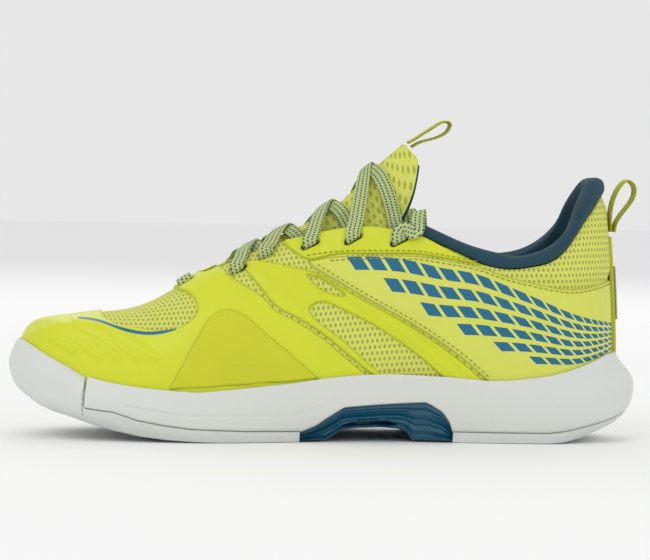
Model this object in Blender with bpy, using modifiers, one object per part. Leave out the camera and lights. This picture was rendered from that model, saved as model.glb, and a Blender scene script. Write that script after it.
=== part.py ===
"""A low court shoe for the right foot, built as separate pieces: sole unit, upper layers, tongue and lace.

The toe points along -Y, the medial side is +X and the ground is z = 0. Lengths are in millimetres
until grade() turns them into metres. The upper is described by a last, a smooth foot-shaped surface.
A point of the last has a station t (0 at the toe, 14 at the heel), an angle th (0 at the sole edge,
90 degrees at the crest) and a side (+1 medial, -1 lateral). Every layer is the last moved along its
own normal, so the layers stack inwards with a named clearance between them.
"""

from math import pi, radians

import bmesh
import bpy
import numpy as np
from mathutils import Vector

# Driving dimensions, in millimetres.
SHOE_LENGTH = 296.0
SHOE_WIDTH = 110.0
SHOE_HEIGHT = 151.0
OVERLAY_THICKNESS = 1.0
MESH_THICKNESS = 1.2
LINING_THICKNESS = 1.0
COUNTER_THICKNESS = 1.4
FOAM_THICKNESS = 2.6
LAYER_GAP = 0.8
OUTSOLE_THICKNESS = 3.0
CUP_WALL = 1.4
CUP_GAP = 0.6
BOARD_THICKNESS = 1.5
INSOLE_THICKNESS = 4.0
GUARD_THICKNESS = 0.9
TONGUE_FOAM_THICKNESS = 4.0
LACE_WIDTH = 7.0
LACE_THICKNESS = 1.2
SLOT_CLEARANCE = 1.0
SLOT_DEPTH = 16.0
SLOT_DROP = 2.5
LACE_GAP = 0.5
STRAP_THICKNESS = 1.2
STRAP_WIDTH = 11.0
AGLET_LENGTH = 22.0
AGLET_THICKNESS = 2.4
AGLET_WIDTH = 4.4

# The pattern that the outlines are drawn on. It is graded to the driving dimensions.
PATTERN = np.array([110.0, 296.0, 151.0])
GRADE = np.array([SHOE_WIDTH, SHOE_LENGTH, SHOE_HEIGHT]) / PATTERN
MM = 0.001
CENTRE_SHIFT = np.array([3.3, -1.5, 0.0]) * GRADE

# Layers of the upper, as offsets of their outer faces from the last.
MESH_OUT = -(OVERLAY_THICKNESS + LAYER_GAP)
STIFFENER_OUT = MESH_OUT - MESH_THICKNESS - LAYER_GAP
VAMP_LINING_OUT = STIFFENER_OUT - COUNTER_THICKNESS - LAYER_GAP
EDGE_LINING_OUT = STIFFENER_OUT - 0.2
FOAM_OUT = STIFFENER_OUT
COLLAR_LINING_OUT = FOAM_OUT - FOAM_THICKNESS - LAYER_GAP
UNDER_EDGE = EDGE_LINING_OUT - LINING_THICKNESS
TONGUE_UNDER = UNDER_EDGE - 2 * LACE_GAP - LACE_THICKNESS - 0.9
TONGUE_CREST = -2.5
TIP_CLEARANCE = 0.9
PUFF_HEIGHT = 1.1
UPPER_ROWS = 9

# Stations of the last: sole edge y, medial x and lateral x, then crest y, x and z, floor z, squareness.
LAST = np.array([
    (-143.0, 9.0, 9.0, -124.0, 9.0, 55.3, 27.0, 3.0),
    (-138.5, 24.0, -6.0, -121.0, 9.0, 55.8, 25.0, 3.0),
    (-127.0, 34.5, -20.5, -114.0, 8.8, 56.8, 21.5, 2.8),
    (-108.0, 41.5, -34.5, -101.0, 8.3, 58.9, 17.5, 2.5),
    (-85.0, 45.5, -45.5, -83.0, 7.6, 63.0, 15.0, 2.3),
    (-60.0, 46.5, -51.5, -59.5, 6.5, 77.0, 14.0, 2.15),
    (-32.0, 42.5, -51.0, -32.5, 5.0, 92.0, 15.3, 2.0),
    (-2.0, 35.5, -46.0, -2.0, 3.0, 107.0, 17.5, 2.0),
    (28.0, 33.0, -41.0, 27.0, 1.0, 130.0, 20.0, 1.9),
    (58.0, 34.0, -37.5, 54.0, 0.0, 152.0, 21.5, 1.85),
    (86.0, 36.0, -36.5, 78.0, 0.0, 166.0, 22.0, 1.8),
    (109.0, 34.5, -34.5, 96.0, 0.0, 175.0, 22.5, 1.8),
    (125.0, 27.5, -27.5, 106.0, 0.0, 181.0, 23.0, 1.8),
    (135.5, 15.0, -15.0, 112.0, 0.0, 184.0, 23.2, 1.8),
    (139.0, 0.0, 0.0, 114.0, 0.0, 185.0, 23.3, 1.8),
])
HEEL = len(LAST) - 1
MEDIAL = 1
LATERAL = -1

# Outlines in the side view, as (y, z) on the pattern.
SOLE_TOP = [(-146, 45.3), (-140.6, 44.6), (-136, 42.4), (-131.5, 39.8), (-124.5, 36.2), (-118, 32.9),
            (-112, 29.5), (-104, 27.3), (-95, 25.6), (-86, 24.4), (-73, 23.1), (-60, 22.2), (-50, 23),
            (-32, 24.7), (-16, 26.3), (0, 28.5), (16, 29.9), (30, 30.3), (45, 29.7), (60, 28.9),
            (74, 27.6), (84, 27.7), (94, 28.7), (104, 30), (114, 32.5), (125, 36.4), (132, 39.2),
            (140, 40.4)]
GROUND_LINE = [(-140, 20.5), (-133.5, 16.4), (-122, 11.5), (-110, 7.9), (-98, 4.9), (-86, 2.6),
               (-74, 1.2), (-60, 0.3), (-50, 0), (-12.4, 0), (-12, 0.7), (0, 0.8), (4, 3.2), (7.5, 5.6),
               (15, 6.4), (26, 6.8), (34, 6.2), (38, 4.6), (41, 0.9), (59, 0.7), (59.4, 0), (104, 0),
               (112, 0.6), (120, 2.2), (130, 5.2), (140, 10)]
PARTING_LINE = [(-110.2, 20.3), (-108.6, 18.1), (-104, 15.8), (-95, 12.5), (-87, 10), (-75, 7.9),
                (-63, 6.4), (-40, 5.4), (-12.4, 5), (-12, 4.5), (-5, 7.3), (0.5, 11), (7.5, 15.3),
                (15, 18.1), (23, 19.7), (35, 20.7), (42, 19.9), (48, 17.7), (54, 14.1), (57.6, 9.1),
                (59, 4.6), (59.4, 5), (104, 5), (112, 6), (120, 8), (130, 11), (140, 15.5)]
THROAT = [(-60, 77), (-56, 77.6), (-50, 80.4), (-42, 84.4), (-30, 89.4), (-19, 93.2), (-2, 97.3),
          (8, 99.2), (16.6, 100.1), (23, 100.1), (29, 99.3), (38, 98.3)]
COLLAR = [(38, 98.3), (44, 95.7), (53.4, 91.5), (62.7, 87.4), (72.8, 82.9), (78.5, 81.6), (84, 81),
          (89.8, 81.3), (95.4, 82.2), (105.2, 85), (110, 88.4), (114.2, 93.1), (119.3, 100),
          (123.4, 105.3), (126.8, 109), (130.1, 113.2), (133.9, 116.6)]
COLLAR_TOP = [(38, 105), (44, 101.8), (53.6, 97.2), (62.8, 93.1), (71, 90.3), (81, 87.9), (87, 86.9),
              (93, 87.5), (98, 88.8), (104.7, 92), (109, 95.1), (113.2, 99.2), (117, 104.6),
              (119.6, 110.3), (123, 116.2), (126, 120.4), (129, 123.4), (133, 124)]
CAGE_FRONT = [(-41, 82), (-36, 76.6), (-32, 72), (-28.2, 67.3), (-24.4, 62.9), (-16.4, 58.4),
              (-6.3, 52.6), (0.8, 47.7), (6, 43.4), (15.3, 35.7), (28, 25.5)]
VAMP_REAR = [(-50, 80.4), (-44, 75.8), (-36, 71), (-28.6, 66), (-24.6, 61.6), (-16.6, 57.2), (-6.6, 51.4),
             (0.4, 46.5), (5.4, 42.3), (14.6, 34.7), (25.5, 25.8)]
CAGE_TOP = [(-39.5, 83), (-32, 83.6), (-24, 82.6), (-14, 80.6), (-5.5, 78.3), (4.7, 72.9), (15.8, 66.5),
            (30.5, 58.7), (50, 47.2), (64, 37), (74, 28.2), (78, 24.2)]
QUARTER_FRONT = [(-9.3, 83.2), (-6.2, 80.7), (4.7, 74.2), (15.8, 67.8), (30.5, 60), (50, 48.5),
                 (64.6, 38), (74.3, 29.4), (79.5, 24.2), (90, 24.8), (104, 26.2), (114, 28.5),
                 (125, 32.4), (132, 35), (138.2, 36.5)]
QUARTER_TOP = [(-9.3, 83.2), (1.4, 85.2), (16, 86.2), (31, 86.5), (43, 86.3), (57, 84.4), (64, 83.3),
               (69, 82.2), (73, 81.2), (80.7, 78.4), (89.7, 76.1), (98.2, 74.3), (106.8, 72.7),
               (115.6, 72), (125, 73.3), (136.6, 76)]
EYESTAY_LOW = [(-19.8, 91.2), (-13.4, 86.3), (-9.3, 84.4), (1.4, 86.1), (16, 87.1), (31, 87.4),
               (43, 87.2), (57, 85.2), (64, 84.1), (72, 82.6)]
EYESTAY_TOP = [(-19.5, 93), (-10.8, 95), (-2, 97.3), (8, 99.2), (16.6, 100.1), (23, 100.1), (29, 99.3),
               (38, 98.3), (53.4, 91.5), (72.4, 83)]
GUARD_FRONT = [(-73.5, 24), (-66.5, 37), (-59.5, 50), (-53, 58.5), (-47.5, 61.4)]
GUARD_REAR = [(-2.6, 28.9), (-8, 33.6), (-17, 41.4), (-32, 53.6), (-42.3, 60.6), (-47.5, 61.4)]
TOE_WINDOW = [(-103.5, 57), (-101, 55.2), (-91, 52.8), (-81, 51.5), (-71.5, 51.8), (-64.5, 54.9),
              (-61, 58.8), (-60.3, 63), (-62.5, 66.5), (-76, 70), (-90, 70), (-103, 66)]
CAGE_WINDOW = [(-8.5, 61.6), (-6.7, 58.6), (0.7, 52.3), (11, 44.3), (19.5, 36.6), (30, 28.5), (42, 22),
               (62, 22), (53.5, 30.8), (47, 36.7), (35.5, 45.3), (23, 53.4), (16, 57.1), (5.3, 62),
               (-4.3, 64.6)]
SIDE_WINDOW = [(-9.5, 77.4), (-3, 75.3), (4, 71.2), (8.5, 67.6), (1, 69), (-5, 72.6)]
EYELETS = [(-65.2, 72.6), (-41.4, 79.4), (-28, 86.6), (-7.6, 90.9), (12.3, 93.8), (33.6, 93.2)]

HEEL_LOOP = [(136.8, 98.6), (136.6, 104), (137.1, 110), (138.8, 116), (141.6, 120.9), (144.6, 123),
             (147.4, 121.2), (148.2, 117.2), (147, 113.8), (144.2, 109.8), (141.1, 105.6), (139.2, 101.8),
             (138.6, 98.5)]
TONGUE_LOOP = [(39.6, 139.3), (43, 141.3), (47, 144), (52, 147.2), (56.5, 149.4), (59.2, 148.7),
               (58.7, 146), (55.4, 143), (50, 141), (45, 139.5), (41.4, 137.4)]

# Outer wall of the sole at each station of the last: outset of its bottom, bevel and bulge from the last,
# and the heights of the bevel and the bulge.
WALL = np.array([
    (-21.0, -2.5, 3.6, 21.5, 33.0),
    (-14.0, -1.5, 4.0, 19.0, 31.0),
    (-7.0, 1.0, 4.5, 14.0, 26.0),
    (-2.5, 2.5, 5.2, 10.0, 19.5),
    (0.5, 4.0, 5.5, 7.0, 16.0),
    (1.5, 4.5, 5.5, 5.0, 14.5),
    (1.0, 3.5, 5.0, 4.5, 14.0),
    (-0.5, 2.0, 3.6, 5.0, 15.0),
    (-1.5, 1.0, 2.8, 9.0, 17.0),
    (-1.5, 0.8, 2.8, 6.0, 17.0),
    (-0.5, 1.5, 3.6, 5.0, 17.5),
    (0.0, 2.5, 4.8, 5.0, 18.0),
    (-3.0, 2.8, 5.8, 6.5, 20.0),
    (-10.0, 3.0, 8.6, 9.5, 24.0),
    (-19.0, 2.0, 10.6, 11.5, 27.5),
])
LATERAL_FLARE = 1.2
SPINE_ENDS = (45.0, 40.0)
TOE_BUMPER_END = (-111.0, -110.2)
CUP_START = (-109.6, -108.8)
SHANK_SPAN = (-12.0, 59.0)
SLAB_START = -120.0
BOARD_DROP = BOARD_THICKNESS + 2 * 0.3

# Colours as (red, green, blue, roughness).
COLOURS = {
    "lime": (0.62, 0.73, 0.02, 0.45),
    "lime_dark": (0.55, 0.65, 0.01, 0.5),
    "lime_pale": (0.68, 0.74, 0.1, 0.5),
    "mesh": (0.66, 0.76, 0.06, 0.8),
    "teal": (0.005, 0.12, 0.2, 0.7),
    "shank": (0.005, 0.13, 0.2, 0.3),
    "sole": (0.7, 0.72, 0.68, 0.55),
    "rubber": (0.72, 0.74, 0.7, 0.6),
    "board": (0.6, 0.55, 0.45, 0.9),
    "foam": (0.8, 0.75, 0.5, 0.9),
    "lace": (0.75, 0.8, 0.35, 0.8),
    "aglet": (0.85, 0.9, 0.7, 0.25),
    "stiffener": (0.75, 0.72, 0.62, 0.7),
}


# ---- the last ----

def natural_spline(keys, values):
    """The natural cubic spline through the values at the keys, as a function."""
    k = np.asarray(keys, float)
    v = np.asarray(values, float)
    h = np.diff(k)
    slope = np.diff(v) / h
    n = len(k)
    a = np.eye(n)
    r = np.zeros(n)
    i = np.arange(1, n - 1)
    a[i, i - 1] = h[:-1]
    a[i, i] = 2 * (h[:-1] + h[1:])
    a[i, i + 1] = h[1:]
    r[1:-1] = 6 * np.diff(slope)
    m = np.linalg.solve(a, r)

    def at(q):
        q = np.clip(q, k[0], k[-1])
        j = np.clip(np.searchsorted(k, q) - 1, 0, n - 2)
        w = h[j]
        p = (q - k[j]) / w
        o = 1 - p
        bend = ((o**3 - o) * m[j] + (p**3 - p) * m[j + 1]) * w * w / 6
        return o * v[j] + p * v[j + 1] + bend

    return at


def wrapped(own, other):
    """A station value as a spline that runs on round the toe and the heel into the other side's values."""
    reach = 3
    keys = np.arange(-reach, HEEL + reach + 1)
    return natural_spline(keys, np.concatenate([other[reach:0:-1], own, other[-2:-2 - reach:-1]]))


EDGE_Y = wrapped(LAST[:, 0], LAST[:, 0])
EDGE_X = {MEDIAL: wrapped(LAST[:, 1], LAST[:, 2]), LATERAL: wrapped(LAST[:, 2], LAST[:, 1])}
CREST_Y, CREST_X, CREST_Z, FLOOR_Z, SQUARE = [wrapped(LAST[:, i], LAST[:, i]) for i in range(3, 8)]


def last(t, th, side):
    """Graded point of the last: a superellipse quarter from the sole edge up to the crest."""
    n = SQUARE(t)
    c = np.abs(np.cos(th))
    s = np.sin(th)
    r = (c**n + np.abs(s)**n)**(-1 / n)
    out = r * np.cos(th)
    up = r * s
    x = CREST_X(t) + (EDGE_X[side](t) - CREST_X(t)) * out
    y = CREST_Y(t) + (EDGE_Y(t) - CREST_Y(t)) * out
    z = FLOOR_Z(t) + (CREST_Z(t) - FLOOR_Z(t)) * up
    return np.stack([x, y, z], -1) * GRADE


def normal(t, th, side):
    """Unit normal of the last, pointing out of the foot."""
    e = 1e-3
    along = last(t + e, th, side) - last(t - e, th, side)
    low = np.maximum(th - e, 0)
    high = np.minimum(th + e, pi / 2)
    up = last(t, high, side) - last(t, low, side)
    n = np.cross(along, up) * side
    length = np.linalg.norm(n, axis=-1, keepdims=True)
    return np.where(length < 1e-9, np.array([0.0, 0.0, 1.0]), n / np.maximum(length, 1e-9))


def skin(t, th, side, offset):
    """Graded point of the last moved out along its normal. Both sides agree on the crest."""
    t, th, offset = np.broadcast_arrays(np.asarray(t, float), th, offset)
    own = normal(t, th, side)
    other = normal(t, th, -side)
    both = (own * np.sign(own[..., 2:] + 1e-9) + other * np.sign(other[..., 2:] + 1e-9)) * np.array([0, 1, 1])
    both = both / np.maximum(np.linalg.norm(both, axis=-1, keepdims=True), 1e-9)
    n = np.where((th > pi / 2 - 1e-6)[..., None], both, own)
    return last(t, th, side) + n * offset[..., None]


def side_angle(t, z):
    """Angle at which station t of the last reaches the pattern height z."""
    n = SQUARE(t)
    up = np.clip((z - FLOOR_Z(t)) / (CREST_Z(t) - FLOOR_Z(t)), 0, 1)
    out = (1 - up**n)**(1 / n)
    return np.arctan2(up, out)


def side_coords(points):
    """Station and angle of each (y, z) point of the side view, by bisection on the station."""
    y, z = np.asarray(points, float).T
    low = np.zeros_like(y)
    high = np.full_like(y, float(HEEL))
    for _ in range(40):
        t = (low + high) / 2
        th = side_angle(t, z)
        n = SQUARE(t)
        c = np.cos(th)
        out = c * (np.abs(c)**n + np.sin(th)**n)**(-1 / n)
        short = CREST_Y(t) + (EDGE_Y(t) - CREST_Y(t)) * out < y
        low = np.where(short, t, low)
        high = np.where(short, high, t)
    return np.stack([t, th], -1)


def station_at(y):
    """Station whose sole edge lies at the pattern position y."""
    t = np.linspace(0, HEEL, 1401)
    return np.interp(y, EDGE_Y(t), t)


def height(line, y):
    """Height of a side-view line at y."""
    points = np.asarray(line, float)
    return np.interp(y, points[:, 0], points[:, 1])


def resample(points, count):
    """count points evenly along the smooth curve through the given points."""
    p = np.asarray(points, float)
    chord = np.concatenate([[0], np.cumsum(np.linalg.norm(np.diff(p, axis=0), axis=1))])
    splines = [natural_spline(chord, p[:, i]) for i in range(p.shape[1])]
    fine = np.linspace(0, chord[-1], 40 * len(p))
    q = np.stack([f(fine) for f in splines], -1)
    run = np.concatenate([[0], np.cumsum(np.linalg.norm(np.diff(q, axis=0), axis=1))])
    at = np.linspace(0, run[-1], count)
    return np.stack([np.interp(at, run, q[:, i]) for i in range(p.shape[1])], -1)


TOP_EDGE = side_coords(np.vstack([resample(THROAT, 60), resample(COLLAR, 80)[1:]]))
THROAT_BASE = float(TOP_EDGE[0, 0])


def top_angle(t):
    """Angle of the upper's top edge at station t: the crest in front of the throat."""
    return np.where(t <= THROAT_BASE, pi / 2, np.interp(t, TOP_EDGE[:, 0], TOP_EDGE[:, 1]))


def sole_angle(t, drop):
    """Angle of the line that runs the given distance below the sole's top edge."""
    return side_angle(t, height(SOLE_TOP, EDGE_Y(t)) - drop)


# ---- Blender objects ----

def clear_scene():
    for obj in list(bpy.data.objects):
        bpy.data.objects.remove(obj, do_unlink=True)


def new_collection(name, hidden):
    collection = bpy.data.collections.new(name)
    bpy.context.scene.collection.children.link(collection)
    collection.hide_render = hidden
    return collection


def material(name):
    found = bpy.data.materials.get(name)
    if found:
        return found
    red, green, blue, roughness = COLOURS[name]
    made = bpy.data.materials.new(name)
    made.use_nodes = True
    shader = made.node_tree.nodes["Principled BSDF"]
    shader.inputs["Base Color"].default_value = (red, green, blue, 1)
    shader.inputs["Roughness"].default_value = roughness
    made.diffuse_color = (red, green, blue, 1)
    return made


def new_object(name, points, faces, colour, collection):
    """Mesh object from points in millimetres. Points that coincide are joined."""
    mesh = bpy.data.meshes.new(name)
    mesh.from_pydata(((np.asarray(points) + CENTRE_SHIFT) * MM).tolist(), [], faces)
    body = bmesh.new()
    body.from_mesh(mesh)
    bmesh.ops.remove_doubles(body, verts=body.verts, dist=0.02 * MM)
    body.to_mesh(mesh)
    body.free()
    mesh.materials.append(material(colour))
    obj = bpy.data.objects.new(name, mesh)
    collection.objects.link(obj)
    return obj


def grid_faces(columns, rows, flip):
    """Quads of a grid of points stored column by column."""
    faces = []
    for i in range(columns - 1):
        for j in range(rows - 1):
            a = i * rows + j
            face = (a, a + rows, a + rows + 1, a + 1)
            faces.append(face[::-1] if flip else face)
    return faces


def make_shell(name, grid, outward, thickness, colour, collection):
    """Shell with the given grid as its outer face, thickened away from the outward directions."""
    columns, rows = grid.shape[:2]
    cell = np.cross(grid[1:, :-1] - grid[:-1, :-1], grid[:-1, 1:] - grid[:-1, :-1])
    flip = (cell * outward[:-1, :-1]).sum() < 0
    obj = new_object(name, grid.reshape(-1, 3), grid_faces(columns, rows, flip), colour, collection)
    solidify = obj.modifiers.new("thickness", "SOLIDIFY")
    solidify.thickness = thickness * MM
    solidify.offset = -1
    solidify.use_even_offset = False
    return obj


def patch(name, t, th, side, offset, thickness, colour, collection):
    """Shell over a grid of stations and angles on one side of the last."""
    return make_shell(name, skin(t, th, side, offset), normal(t, th, side), thickness, colour, collection)


def spread_columns(outline, count, side):
    """Stations and angles along an outline, evenly spaced on the last but twice as close round the heel."""
    fine = side_coords(resample(outline, 200))
    steps = np.linalg.norm(np.diff(last(fine[:, 0], fine[:, 1], side), axis=0), axis=1)
    steps = steps * (1 + 1.6 * np.clip((fine[1:, 0] - 10.2) / 0.8, 0, 1))
    run = np.concatenate([[0], np.cumsum(steps)])
    at = np.linspace(0, run[-1], count)
    return np.stack([np.interp(at, run, fine[:, i]) for i in range(2)], -1)


def ruled_patch(name, first, second, columns, rows, side, offset, thickness, colour, collection):
    """Shell between two side-view outlines, ruled straight from one to the other."""
    a = spread_columns(first, columns, side)
    b = spread_columns(second, columns, side)
    share = np.linspace(0, 1, rows)[None, :, None]
    both = a[:, None] * (1 - share) + b[:, None] * share
    return patch(name, both[..., 0], both[..., 1], side, offset, thickness, colour, collection)


def join_sides(medial, lateral, stations):
    """Columns of both sides in one row, joined at the heel, or at the toe if they stop short of the heel."""
    if stations[-1] > HEEL - 1e-6:
        return np.concatenate([medial, lateral[::-1]])
    return np.concatenate([lateral[::-1], medial])


def spread_rows(low, high, rows):
    """Angles from low to high at each station, closer together towards the high end."""
    share = np.linspace(0, 1, rows)[None, :]**0.85
    return low[:, None] * (1 - share) + high[:, None] * share


def around(name, stations, th, offset, thickness, colour, collection):
    """Shell over both sides: columns run up the medial side's stations and back down the lateral side's."""
    t = np.broadcast_to(stations[:, None], th.shape)
    own = np.broadcast_to(np.asarray(offset, float), th.shape)
    grid = join_sides(skin(t, th, MEDIAL, own), skin(t, th, LATERAL, own), stations)
    out = join_sides(normal(t, th, MEDIAL), normal(t, th, LATERAL), stations)
    return make_shell(name, grid, out, thickness, colour, collection)


def loft(name, rings, colour, collection):
    """Closed solid through rings of points. The ends are capped where the ring is open."""
    count, around_count = rings.shape[:2]
    faces = []
    for i in range(count - 1):
        for j in range(around_count):
            k = (j + 1) % around_count
            a = i * around_count
            faces.append((a + j, a + k, a + around_count + k, a + around_count + j))
    for end in (0, count - 1):
        ring = rings[end]
        if np.abs(ring - ring[::-1]).max() > 0.05:
            start = end * around_count
            faces.append(tuple(range(start, start + around_count)))
    obj = new_object(name, rings.reshape(-1, 3), faces, colour, collection)
    body = bmesh.new()
    body.from_mesh(obj.data)
    bmesh.ops.recalc_face_normals(body, faces=body.faces)
    body.to_mesh(obj.data)
    body.free()
    return obj


def cut(obj, cutter):
    boolean = obj.modifiers.new("cut " + cutter.name, "BOOLEAN")
    boolean.operation = "DIFFERENCE"
    boolean.solver = "EXACT"
    boolean.object = cutter


def hide_cutter(obj):
    obj.hide_render = True
    obj.display_type = "WIRE"


def window_cutter(name, outline, side, collection):
    """Prism through one side of the upper, or through both where side is 0."""
    points = resample(outline + outline[:1], 3 * len(outline))[:-1] * GRADE[1:]
    x_from = {MEDIAL: 8.0, LATERAL: -80.0, 0: -80.0}[side]
    x_to = {MEDIAL: 80.0, LATERAL: -8.0, 0: 80.0}[side]
    count = len(points)
    rings = np.array([[(x, y, z) for y, z in points] for x in (x_from, x_to)])
    faces = [(j, (j + 1) % count, count + (j + 1) % count, count + j) for j in range(count)]
    faces += [tuple(range(count)), tuple(range(2 * count - 1, count - 1, -1))]
    obj = new_object(name, rings.reshape(-1, 3), faces, "stiffener", collection)
    body = bmesh.new()
    body.from_mesh(obj.data)
    bmesh.ops.recalc_face_normals(body, faces=body.faces)
    body.to_mesh(obj.data)
    body.free()
    hide_cutter(obj)
    return obj


# ---- the sole unit ----

def plan_edge(t, side, outset):
    """Graded plan point of the sole edge, moved outwards in the plan from a spine down the middle."""
    edge = np.stack([EDGE_X[side](t), EDGE_Y(t)], -1) * GRADE[:2]
    spine_y = np.clip(EDGE_Y(t), LAST[0, 0] + SPINE_ENDS[0], LAST[-1, 0] - SPINE_ENDS[1])
    spine = np.stack([CREST_X(t), spine_y], -1) * GRADE[:2]
    outward = edge - spine
    outward = outward / np.linalg.norm(outward, axis=-1, keepdims=True)
    return edge + outward * np.asarray(outset, float)[..., None]


class Wall:
    """The sole's outer wall on one side at a set of stations: points as a function of height."""

    def __init__(self, t, side):
        self.t = t
        self.side = side
        keys = np.arange(HEEL + 1)
        flare = 0.0
        if side == LATERAL:
            flare = LATERAL_FLARE * np.clip(np.sin(pi * t / 11), 0, 1)
        bottom, bevel, bulge, bevel_z, bulge_z = [np.interp(t, keys, WALL[:, i]) for i in range(5)]
        foot = plan_edge(t, side, bottom + flare)[..., 1] / GRADE[1]
        self.ground = height(GROUND_LINE, foot) * GRADE[2]
        self.top = height(SOLE_TOP, EDGE_Y(t)) * GRADE[2]
        lip = skin(t, sole_angle(t, 0), side, CUP_GAP + CUP_WALL)
        edge = plan_edge(t, side, 0 * t)
        lip_out = np.linalg.norm(lip[..., :2] - edge, axis=-1)
        outward = plan_edge(t, side, 0 * t + 1) - edge
        lip_out = lip_out * np.sign(((lip[..., :2] - edge) * outward).sum(-1))
        bevel_z = np.maximum(bevel_z * GRADE[2], self.ground + 1.5)
        bulge_z = np.maximum(bulge_z * GRADE[2], bevel_z + 2)
        self.heights = np.stack([self.ground, bevel_z, bulge_z, self.top], -1)
        self.outsets = np.stack([bottom + flare, bevel + flare, bulge + flare, lip_out], -1)

    def at(self, z, inset):
        """Points of the wall at the heights z, moved in by the inset."""
        out = np.array([np.interp(h, hs, os) for h, hs, os in zip(z, self.heights, self.outsets)])
        return np.concatenate([plan_edge(self.t, self.side, out - inset), np.asarray(z, float)[:, None]], -1)

    def edge(self, z, outset):
        """Points above or below the last's sole edge, moved out in the plan."""
        plan = plan_edge(self.t, self.side, outset + 0 * self.t)
        return np.concatenate([plan, np.asarray(z)[:, None]], -1)


def sole_stations(extra):
    """Stations of the sole: close together round the toe and the heel, and at every break in its lines."""
    near_ends = [i / 4 for i in range(9)] + [HEEL - i / 4 for i in range(9)] + [HEEL - 2.5, HEEL - 3.5]
    middle = list(range(2, HEEL - 1))
    breaks = list(station_at(np.array(extra, float)))
    t = np.array(sorted(near_ends + middle + breaks))
    keep = np.concatenate([[True], np.diff(t) > 0.012])
    return t[keep]


def share(y, span):
    return np.clip((y - span[0]) / (span[1] - span[0]), 0, 1)[:, None]


def bottom_shell(name, t, colour, collection):
    """Thin cup under the midsole: an outer wall up to the parting line, or to the sole's top at the toe."""
    halves = []
    floor_z = FLOOR_Z(t) * GRADE[2] - BOARD_DROP
    y = EDGE_Y(t)
    for side in (MEDIAL, LATERAL):
        wall = Wall(t, side)
        low = np.maximum(height(PARTING_LINE, y) * GRADE[2], wall.ground + OUTSOLE_THICKNESS + 1.0)
        low = np.minimum(low, floor_z - 0.5)
        is_toe = 1 - share(y, TOE_BUMPER_END)
        rim = low * (1 - is_toe[:, 0]) + wall.top * is_toe[:, 0]
        rise = rim - wall.ground
        zs = [wall.ground,
              np.clip(wall.heights[:, 1], wall.ground + 0.25 * rise, wall.ground + 0.5 * rise),
              np.clip(wall.heights[:, 2], wall.ground + 0.6 * rise, wall.ground + 0.85 * rise),
              rim]
        outer = [wall.at(z, 0 * z) for z in zs]
        base = np.where(y < SLAB_START - 0.5, floor_z - 0.2, wall.ground + OUTSOLE_THICKNESS)
        thick = OUTSOLE_THICKNESS + 0 * base
        plain = [wall.at(base + (rim - base) * k, thick) for k in (1, 0.8, 0.6, 0.4, 0.2, 0)]
        toe = [skin(t, sole_angle(t, 0), side, CUP_GAP),
               skin(t, sole_angle(t, 0) * 0.75, side, CUP_GAP),
               skin(t, sole_angle(t, 0) * 0.4, side, CUP_GAP),
               skin(t, 0 * t, side, CUP_GAP),
               wall.at(floor_z, thick),
               wall.at(base, thick)]
        inner = [p * (1 - is_toe) + q * is_toe for p, q in zip(plain, toe)]
        halves.append(np.stack(outer + inner, 1))
    rings = np.concatenate([halves[0], halves[1][:, ::-1]], 1)
    return loft(name, rings, colour, collection)


def make_midsole(t, collection):
    """Cup of foam: a slab under the foot with walls round it, rebated for the shells beneath it."""
    halves = []
    floor_z = FLOOR_Z(t) * GRADE[2] - BOARD_DROP
    y = EDGE_Y(t)
    for side in (MEDIAL, LATERAL):
        wall = Wall(t, side)
        base = wall.ground + OUTSOLE_THICKNESS + 0.4
        low = np.maximum(height(PARTING_LINE, y) * GRADE[2], wall.ground + OUTSOLE_THICKNESS + 1.0)
        low = np.minimum(low, floor_z - 0.5)
        rebate = OUTSOLE_THICKNESS + 0.4 + 0 * base
        step = low + 0.4
        middle = np.clip(wall.heights[:, 2], step + 0.3 * (wall.top - step), step + 0.7 * (wall.top - step))
        cup = [wall.at(base, rebate),
               wall.at(step, rebate),
               wall.at(step, 0 * base),
               wall.at(middle, 0 * base),
               skin(t, sole_angle(t, 0), side, CUP_GAP + CUP_WALL),
               skin(t, sole_angle(t, 0), side, CUP_GAP),
               skin(t, sole_angle(t, 0) / 2, side, CUP_GAP),
               skin(t, 0 * t, side, CUP_GAP),
               wall.edge(floor_z, CUP_GAP)]
        first = wall.at(base + 0.4, rebate + 2.0)
        second = wall.at(step, rebate + 1.8)
        final = wall.at(floor_z, rebate + 1.6)
        slab = [first] + [second + (final - second) * k / 7 for k in range(8)]
        is_cup = share(y, CUP_START)
        points = [p * is_cup + q * (1 - is_cup) for p, q in zip(cup, slab)]
        halves.append(np.stack(points, 1))
    rings = np.concatenate([halves[0], halves[1][:, ::-1]], 1)
    return loft("midsole", rings, "sole", collection)


def flat_layer(name, t, inset, low, high, colour, collection):
    """Flat layer in the bottom of the upper, between two heights above the last's floor."""
    z = FLOOR_Z(t) * GRADE[2]
    halves = []
    for side in (MEDIAL, LATERAL):
        plan = plan_edge(t, side, 0 * t - inset)
        halves.append([np.concatenate([plan, (z + h)[:, None]], -1) for h in (low, high)])
    rings = np.stack(halves[0] + halves[1][::-1], 1)
    return loft(name, rings, colour, collection)


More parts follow.
